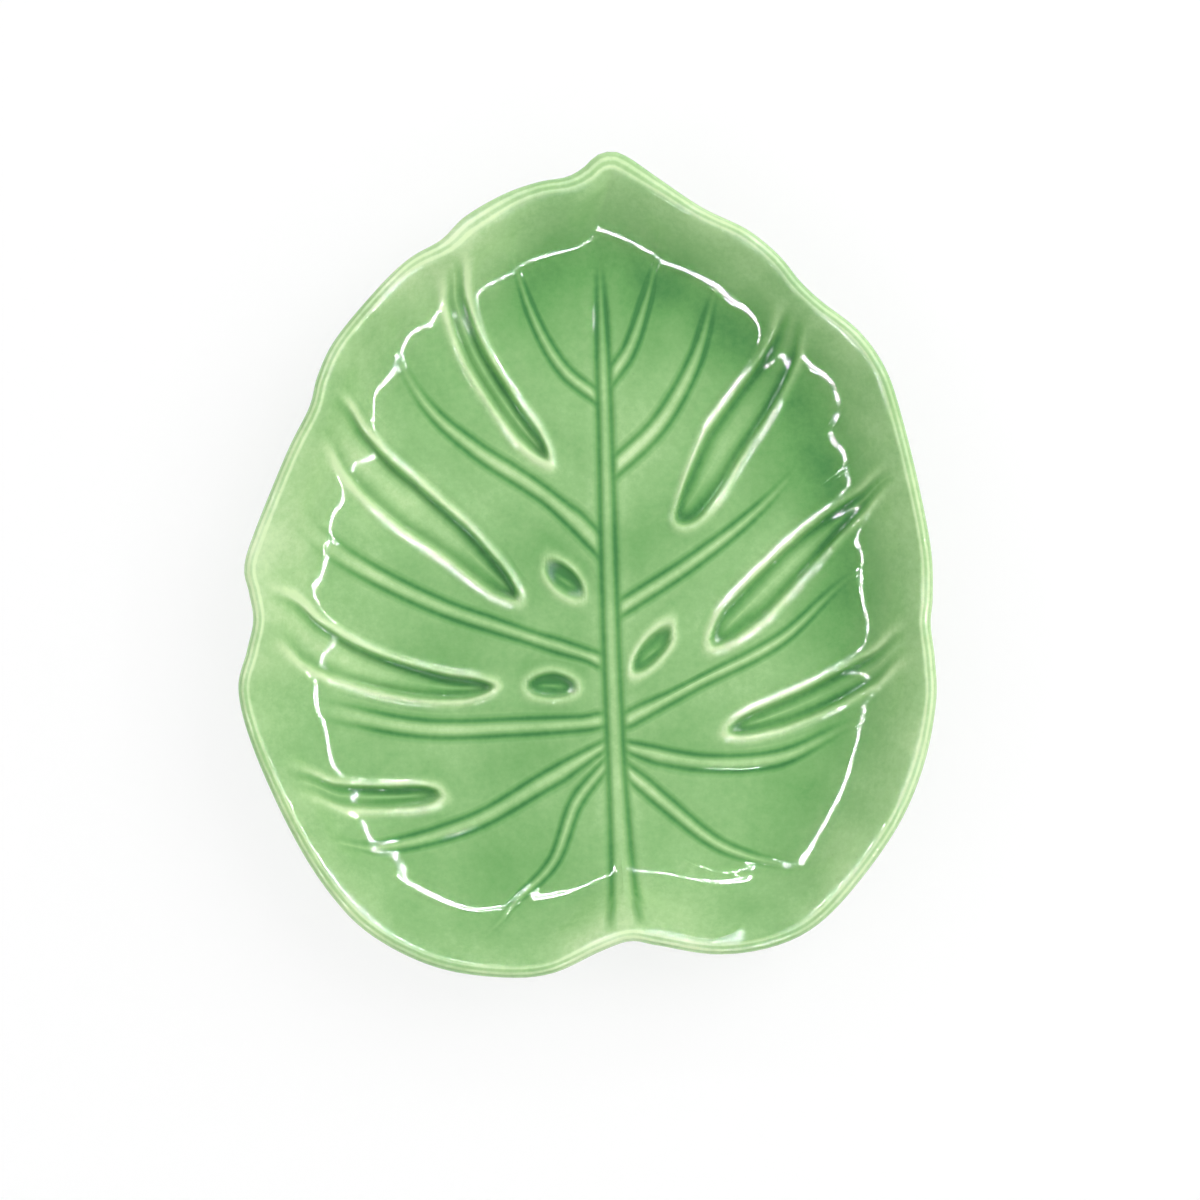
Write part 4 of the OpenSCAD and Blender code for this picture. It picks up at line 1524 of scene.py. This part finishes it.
@dataclass(frozen=True)
class GlazeFinish:
    """Glossy green glaze, darker where it pools and paler where it runs thin, with painted light, painted
    shade and painted highlight lines from its tone.

    Attributes:
        name: Name of the material.
        stops: Colours from pooled glaze and painted shade to thin glaze and painted highlight.
        speck: Colour of the few dark specks.
        roughness: Smallest and largest roughness.
    """

    name: str = "green_glaze"
    stops: tuple[tuple[float, tuple[float, float, float]], ...] = (
        (0.00, (0.062, 0.235, 0.066)),
        (0.10, (0.090, 0.295, 0.085)),
        (0.26, (0.145, 0.375, 0.112)),
        (0.46, (0.222, 0.460, 0.165)),
        (0.62, (0.300, 0.545, 0.222)),
        (0.78, (0.430, 0.670, 0.310)),
        (1.00, (0.690, 0.870, 0.510)),
    )
    speck: tuple[float, float, float] = (0.10, 0.22, 0.08)
    roughness: Point = (0.012, 0.024)

    def material(self) -> bpy.types.Material:
        """Makes the glaze's material.

        Returns:
            The material.
        """
        sheet = NodeSheet(self.name)
        # The tone holds glaze depth with painted light, painted shade and painted highlight lines.
        depth = sheet.remap(sheet.attribute(TONE), (-1.0, 1.0), (0.0, 1.0))
        broad = sheet.remap(sheet.noise(32.0, 1.0), (0.3, 0.7), (-0.10, 0.10))
        cloud = sheet.remap(sheet.noise(95.0, 2.0), (0.3, 0.7), (-0.05, 0.05))
        mottle = sheet.remap(sheet.noise(520.0, 4.0, 0.7), (0.3, 0.7), (-0.05, 0.05))
        tone = sheet.join(sheet.join(depth, broad), sheet.join(cloud, mottle))
        colour = sheet.ramp(tone, self.stops)
        fleck = sheet.remap(sheet.noise(650.0, 1.0), (0.74, 0.80), (0.0, 0.10))
        sheet.link(sheet.mix(fleck, colour, self.speck), sheet.shader.inputs["Base Color"])
        gloss = sheet.remap(sheet.noise(35.0, 2.0), (0.3, 0.7), self.roughness)
        sheet.link(gloss, sheet.shader.inputs["Roughness"])
        sheet.shader.inputs["IOR"].default_value = 1.5
        sheet.bump(sheet.noise(110.0, 1.0), 0.25, 0.14 * MM)
        return sheet.material


@dataclass(frozen=True)
class ClayFinish:
    """Bare fired clay, matte and gritty.

    Attributes:
        name: Name of the material.
        stops: Colours of the clay, from its dark grains to its pale ones.
        stain: Colour of the scuffed and stained patches.
    """

    name: str = "bare_clay"
    stops: tuple[tuple[float, tuple[float, float, float]], ...] = (
        (0.25, (0.46, 0.35, 0.24)),
        (0.50, (0.62, 0.51, 0.38)),
        (0.75, (0.74, 0.65, 0.52)),
    )
    stain: tuple[float, float, float] = (0.33, 0.27, 0.20)

    def material(self) -> bpy.types.Material:
        """Makes the clay's material.

        Returns:
            The material.
        """
        sheet = NodeSheet(self.name)
        grain = sheet.noise(900.0, 4.0, 0.6)
        colour = sheet.ramp(grain, self.stops)
        scuff = sheet.remap(sheet.noise(70.0, 4.0, 0.7), (0.52, 0.72), (0.0, 0.55))
        sheet.link(sheet.mix(scuff, colour, self.stain), sheet.shader.inputs["Base Color"])
        sheet.link(sheet.remap(grain, (0.3, 0.7), (0.82, 0.98)), sheet.shader.inputs["Roughness"])
        sheet.bump(grain, 0.5, 0.3 * MM)
        return sheet.material


@dataclass
class GlazeCoat:
    """The glaze over the face, round the lip and down the back to the foot ring.

    Attributes:
        skin: The leaf's faces.
        finish: The glaze.
        node: Name of the solid that it stands for.
    """

    skin: LeafSkin
    finish: bpy.types.Material
    node: str = "glaze_coat"

    def build(self) -> bpy.types.Object:
        """Builds the coat as a thin closed shell.

        Returns:
            The piece.
        """
        bm = bmesh.new()
        tone = bm.verts.layers.float.new(TONE)
        columns = np.arange(self.skin.face[1].shape[1])
        outer = self.skin.rows(Skin.GLAZE, columns, 1)
        verts = grid_mesh(bm, outer)
        self.shade(verts, len(columns), len(outer), tone)
        self.seal(bm)
        inner = self.skin.rows(Skin.UNDER_GLAZE, self.skin.ribs.face[3], 2)
        grid_mesh(bm, inner)
        self.seal(bm)
        bmesh.ops.scale(bm, vec=(1.0 / MM,) * 3, verts=bm.verts[:])
        bmesh.ops.triangle_fill(bm, edges=[edge for edge in bm.edges if edge.is_boundary],
                                normal=(0.0, 0.0, -1.0))
        bmesh.ops.scale(bm, vec=(MM,) * 3, verts=bm.verts[:])
        return finish_object(bm, "leaf_glaze", self.finish)

    def shade(self, verts: list[bmesh.types.BMVert], wide: int, tall: int,
              tone: bmesh.types.BMLayerItem) -> None:
        """Writes how thick the glaze lies at each vertex, with the painted light, shade and highlight
        lines.

        Args:
            verts: The outer grid's vertices.
            wide: Number of columns.
            tall: Number of rows.
            tone: The layer to write to.
        """
        tones = self.skin.tones()
        for row in range(tall):
            level = tones[min(row, len(tones) - 1)]
            for column in range(wide + 1):
                verts[row * (wide + 1) + column][tone] = level[column % wide]

    def seal(self, bm: bmesh.types.BMesh) -> None:
        """Closes the seam of the newest grid and the slit along its midrib."""
        bmesh.ops.remove_doubles(bm, verts=bm.verts[:], dist=MERGE)
        close_slit(bm, 2.0 * self.skin.ribs.form.bare_h)

    def place(self) -> bpy.types.Object:
        """Builds the piece and sets it on its body.

        Returns:
            The piece.
        """
        piece = self.build()
        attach(piece, "root")
        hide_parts(self.node)
        return piece


@dataclass
class ClayBody:
    """The fired clay leaf with its foot ring, bare only on the foot.

    Attributes:
        skin: The leaf's faces.
        finish: The clay.
        foot_round: Rounding of the foot ring's edges.
        round_steps: Steps in each rounding.
        floor_rings: How far inside the foot ring the rings of the floor under the glaze lie.
        node: Name of the solid that it stands for.
    """

    skin: LeafSkin
    finish: bpy.types.Material
    foot_round: float = 0.8 * MM
    round_steps: int = 4
    floor_rings: Point = (20.0 * MM, 40.0 * MM)
    node: str = "clay_body"

    def build(self) -> bpy.types.Object:
        """Builds the clay as one closed solid.

        Returns:
            The piece.
        """
        form = self.skin.ribs.form
        bm = bmesh.new()
        rows = self.skin.rows(Skin.CLAY, self.skin.ribs.face[3], 2)
        last = rows[-1][:, :2] - np.array(form.foot_centre)
        half = self.skin.ribs.plan.size / 2.0 - np.array(form.foot_in)
        angle = np.arctan2(last[:, 1] / half[1], last[:, 0] / half[0])
        rows += [self.skin.foot_ring(angle, grow, level) for grow, level in self.foot_profile()]
        grid_mesh(bm, rows)
        bmesh.ops.remove_doubles(bm, verts=bm.verts[:], dist=MERGE)
        close_slit(bm, form.foot_h + form.clay_t / 2.0)
        bmesh.ops.contextual_create(bm, geom=[edge for edge in bm.edges if edge.is_boundary])
        return finish_object(bm, "leaf_clay", self.finish)

    def foot_profile(self) -> list[Point]:
        """Outward shift and height of the rings round the foot, from its outer wall inwards."""
        form = self.skin.ribs.form
        turn, low = self.foot_round, -form.foot_draft
        inside = low - form.foot_w + 2.0 * form.foot_draft
        rings = []
        angles = [math.pi / 2.0 * step / self.round_steps for step in range(self.round_steps + 1)]
        for angle in angles:
            rings.append((low - turn * (1.0 - math.cos(angle)), turn * (1.0 - math.sin(angle))))
        for angle in angles:
            rings.append((inside + turn * (1.0 - math.sin(angle)), turn * (1.0 - math.cos(angle))))
        rings.append((inside - 0.5 * form.foot_draft, form.foot_h - turn))
        rings.append((inside - form.foot_draft - turn, form.foot_h))
        return rings + [(inside - gap, form.foot_h) for gap in self.floor_rings]

    def place(self) -> bpy.types.Object:
        """Builds the piece and sets it on its body.

        Returns:
            The piece.
        """
        piece = self.build()
        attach(piece, "root")
        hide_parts(self.node)
        return piece


@dataclass
class FootWellGlaze:
    """The glaze inside the foot ring, a shallow dish turned from one profile.

    Attributes:
        form: The leaf in height.
        plan: The leaf seen from above.
        finish: The glaze.
        turn_steps: Steps round the dish.
        bend: Rounding between the dish's floor and its wall.
        bend_steps: Steps in that rounding.
        seat_gap: Gap to the clay beside it.
        roof_gap: Gap to the clay over it.
        rim_drop: How far the glaze's rim hangs under the dish's bare line.
        rim_lift: How far the inside of that rim lies over it.
        tone: How the glaze lies on it, from -1 pooled to 1 thin.
        node: Name of the solid that it stands for.
    """

    form: LeafForm
    plan: LeafPlan
    finish: bpy.types.Material
    turn_steps: int = 128
    bend: float = 1.2 * MM
    bend_steps: int = 5
    seat_gap: float = 0.02 * MM
    roof_gap: float = 0.01 * MM
    rim_drop: float = 0.12 * MM
    rim_lift: float = 0.15 * MM
    tone: float = -0.1
    node: str = "foot_well_glaze"

    def build(self) -> bpy.types.Object:
        """Spins the profile and stretches it to the foot ring's oval.

        Returns:
            The piece.
        """
        form = self.form
        half = self.plan.size / 2.0 - np.array(form.foot_in)
        wall = half[0] - form.foot_w - self.seat_gap
        low, top = form.bare_h, form.foot_h - self.roof_gap
        skin, bend = form.glaze_t, self.bend
        under = top - skin
        profile = [(0.0, top), (wall - bend, top), (wall - 0.3 * bend, top - 0.3 * bend), (wall, low)]
        profile += [(wall - 0.5 * skin, low - self.rim_drop), (wall - skin, low + self.rim_lift)]
        for step in range(self.bend_steps + 1):
            angle = math.pi / 2.0 * step / self.bend_steps
            profile.append((wall - skin - bend * (1.0 - math.cos(angle)),
                            under - bend * (1.0 - math.sin(angle))))
        profile.append((0.0, under))
        bm = bmesh.new()
        verts = [bm.verts.new((radius, 0.0, level)) for radius, level in profile]
        edges = [bm.edges.new(pair) for pair in zip(verts, verts[1:])]
        bmesh.ops.spin(bm, geom=verts + edges, cent=(0.0, 0.0, 0.0), axis=(0.0, 0.0, 1.0),
                       angle=math.tau, steps=self.turn_steps, use_merge=True)
        bmesh.ops.remove_doubles(bm, verts=bm.verts[:], dist=MERGE)
        stretch = (half[1] - form.foot_w) / (half[0] - form.foot_w)
        bmesh.ops.scale(bm, vec=(1.0, stretch, 1.0), verts=bm.verts[:])
        bmesh.ops.translate(bm, vec=(*form.foot_centre, 0.0), verts=bm.verts[:])
        tone = bm.verts.layers.float.new(TONE)
        for vert in bm.verts:
            vert[tone] = self.tone
        return finish_object(bm, "foot_well_glaze_dish", self.finish)

    def place(self) -> bpy.types.Object:
        """Builds the piece and sets it on its body.

        Returns:
            The piece.
        """
        piece = self.build()
        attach(piece, "root")
        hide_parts(self.node)
        return piece


@dataclass(frozen=True)
class Lamp:
    """A flat lamp that faces the plate.

    Attributes:
        name: Name of the lamp.
        at: Where it hangs, from the point under the camera.
        size: Width and length of the lamp.
        power: Its power in watts.
        mirrored: Whether it only shows in the glaze, or else only gives light.
    """

    name: str
    at: tuple[float, float, float]
    size: Point
    power: float
    mirrored: bool = False


@dataclass
class Studio:
    """A white table, soft light and a camera straight above.

    Attributes:
        aim: Point of the table under the camera.
        camera_h: Height of the camera over the table.
        view_w: Width of the picture at the lip's height.
        lip_z: Height of the lip.
        sensor: Width of the camera's sensor in millimetres.
        white: Share of the table's brightness that no shadow takes.
        sky_strength: Strength of the even white surround.
        soft_lamps: Broad lamps that light the plate.
        strip_outs: How far the rows of thin lamps stand from the camera's axis.
        strip_h: Height of the thin lamps.
        strip_w: Width of a thin lamp.
        strip_power: Power of a thin lamp in watts.
        strip_dots: Bright dots along a thin lamp.
        side_w: Width of the lamps that give the thin ones' light.
        side_power: Power of such a lamp in watts.
    """

    aim: Point
    lip_z: float
    camera_h: float = 0.75
    view_w: float = 0.318
    sensor: float = 36.0
    white: float = 0.80
    sky_strength: float = 0.36
    soft_lamps: tuple[Lamp, ...] = (
        Lamp("soft_key", (0.75, 0.55, 0.75), (0.9, 0.9), 7.5),
        Lamp("soft_fill", (-0.8, -0.3, 0.8), (0.9, 0.9), 1.6),
    )
    strip_outs: Point = (0.34, 0.38)
    strip_h: float = 0.32
    strip_w: float = 0.0016
    strip_power: float = 1.4
    strip_dots: int = 220
    side_w: float = 0.03
    side_power: float = 0.45

    def floor(self) -> None:
        """Lays the table."""
        bm = bmesh.new()
        bmesh.ops.create_grid(bm, x_segments=1, y_segments=1, size=4.0)
        mesh = bpy.data.meshes.new("table")
        bm.to_mesh(mesh)
        bm.free()
        mesh.materials.append(self.paper())
        table = bpy.data.objects.new("table", mesh)
        bpy.context.scene.collection.objects.link(table)

    def paper(self) -> bpy.types.Material:
        """White paper that keeps a soft shadow.

        Returns:
            The material.
        """
        material = bpy.data.materials.new("white_paper")
        material.use_nodes = True
        tree = material.node_tree
        tree.nodes.clear()
        output = tree.nodes.new("ShaderNodeOutputMaterial")
        matte = tree.nodes.new("ShaderNodeBsdfDiffuse")
        matte.inputs["Color"].default_value = (0.98, 0.98, 0.98, 1.0)
        glow = tree.nodes.new("ShaderNodeEmission")
        glow.inputs["Color"].default_value = (1.0, 1.0, 1.0, 1.0)
        mix = tree.nodes.new("ShaderNodeMixShader")
        seen = tree.nodes.new("ShaderNodeMath")
        seen.operation = "MULTIPLY"
        seen.inputs[1].default_value = self.white
        tree.links.new(self.seen_directly(tree), seen.inputs[0])
        tree.links.new(seen.outputs["Value"], mix.inputs["Fac"])
        tree.links.new(matte.outputs["BSDF"], mix.inputs[1])
        tree.links.new(glow.outputs["Emission"], mix.inputs[2])
        tree.links.new(mix.outputs["Shader"], output.inputs["Surface"])
        return material

    def seen_directly(self, tree: bpy.types.NodeTree) -> bpy.types.NodeSocket:
        """1 for what the camera or a gloss shows, and 0 for what only gives light.

        Args:
            tree: The node tree to add it to.

        Returns:
            The value.
        """
        path = tree.nodes.new("ShaderNodeLightPath")
        value = path.outputs["Is Camera Ray"]
        for name in ("Is Glossy Ray", "Is Transmission Ray"):
            most = tree.nodes.new("ShaderNodeMath")
            most.operation = "MAXIMUM"
            tree.links.new(value, most.inputs[0])
            tree.links.new(path.outputs[name], most.inputs[1])
            value = most.outputs["Value"]
        return value

    def sky(self) -> None:
        """Sets an even white surround."""
        world = bpy.data.worlds.new("studio")
        world.use_nodes = True
        back = world.node_tree.nodes["Background"]
        back.inputs["Color"].default_value = (1.0, 1.0, 1.0, 1.0)
        back.inputs["Strength"].default_value = self.sky_strength
        bpy.context.scene.world = world

    def hang(self, lamp: Lamp) -> bpy.types.AreaLight:
        """Hangs a lamp.

        Args:
            lamp: The lamp.

        Returns:
            The lamp's light.
        """
        light = bpy.data.lights.new(lamp.name, "AREA")
        light.shape = "RECTANGLE"
        light.size, light.size_y = lamp.size
        light.energy = lamp.power
        shown = bpy.data.objects.new(lamp.name, light)
        under = Vector((*self.aim, 0.0))
        spot = under + Vector(lamp.at)
        turn = (under - spot).to_track_quat("-Z", "Y").to_matrix().to_4x4()
        shown.matrix_world = Matrix.Translation(spot) @ turn
        shown.visible_camera = False
        shown.visible_glossy = lamp.mirrored
        shown.visible_diffuse = not lamp.mirrored
        bpy.context.scene.collection.objects.link(shown)
        return light

    def dot(self, light: bpy.types.AreaLight, count: int) -> None:
        """Breaks a thin lamp into a row of bright dots.

        Args:
            light: The lamp's light.
            count: Number of dots.
        """
        light.use_nodes = True
        tree = light.node_tree
        place = tree.nodes.new("ShaderNodeNewGeometry").outputs["Parametric"]
        split = tree.nodes.new("ShaderNodeSeparateXYZ")
        tree.links.new(place, split.inputs["Vector"])
        value = split.outputs["X"]
        for operation, number in (("MULTIPLY", count), ("FRACT", 0.0), ("LESS_THAN", 0.5),
                                  ("MULTIPLY", 2.0)):
            step = tree.nodes.new("ShaderNodeMath")
            step.operation = operation
            step.inputs[1].default_value = number
            tree.links.new(value, step.inputs[0])
            value = step.outputs["Value"]
        tree.links.new(value, tree.nodes["Emission"].inputs["Strength"])

    def lamps(self) -> None:
        """Hangs soft lamps, and a square of thin strips that only the glaze shows."""
        for lamp in self.soft_lamps:
            self.hang(lamp)
        for name, turn in (("right", 0.0), ("tip", 0.5), ("left", 1.0), ("notch", 1.5)):
            for row, out in enumerate(self.strip_outs):
                at = (out * math.cos(turn * math.pi), out * math.sin(turn * math.pi), self.strip_h)
                size = (2.0 * out, self.strip_w)
                strip = self.hang(Lamp(f"strip_{name}_{row}", at, size, self.strip_power, True))
                self.dot(strip, self.strip_dots)
            self.hang(Lamp("side_" + name, at, (2.0 * out, self.side_w), self.side_power))

    def camera(self) -> None:
        """Sets the camera straight above, with the leaf's tip to the top of the picture."""
        data = bpy.data.cameras.new("camera")
        data.sensor_width = self.sensor
        data.lens = self.sensor * (self.camera_h - self.lip_z) / self.view_w
        camera = bpy.data.objects.new("camera", data)
        camera.location = (self.aim[0], self.aim[1], self.camera_h)
        bpy.context.scene.collection.objects.link(camera)
        bpy.context.scene.camera = camera

    def build(self) -> None:
        """Sets up the table, the light and the camera."""
        self.floor()
        self.sky()
        self.lamps()
        self.camera()
        bpy.context.scene.view_settings.view_transform = "Standard"


def main() -> None:
    """Builds the plate and its studio."""
    logging.basicConfig(level=logging.INFO, format="%(name)s: %(message)s")
    low, high = (Vector(corner) for corner in CAD_BOX)
    plan = LeafPlan(width=high.x - low.x, length=high.y - low.y)
    form = LeafForm(height=high.z - low.z)
    skin = LeafSkin(LeafRibs(plan, form))
    glaze, clay = GlazeFinish().material(), ClayFinish().material()
    pieces = [
        ClayBody(skin, clay).place(),
        GlazeCoat(skin, glaze).place(),
        FootWellGlaze(form, plan, glaze).place(),
    ]
    for piece in pieces:
        faces = sum(len(face.vertices) - 2 for face in piece.data.polygons)
        LOG.info("%s: %d triangles", piece.name, faces)
    Studio(aim=(3.3 * MM, -9.4 * MM), lip_z=form.height).build()


if __name__ == "__main__":
    main()
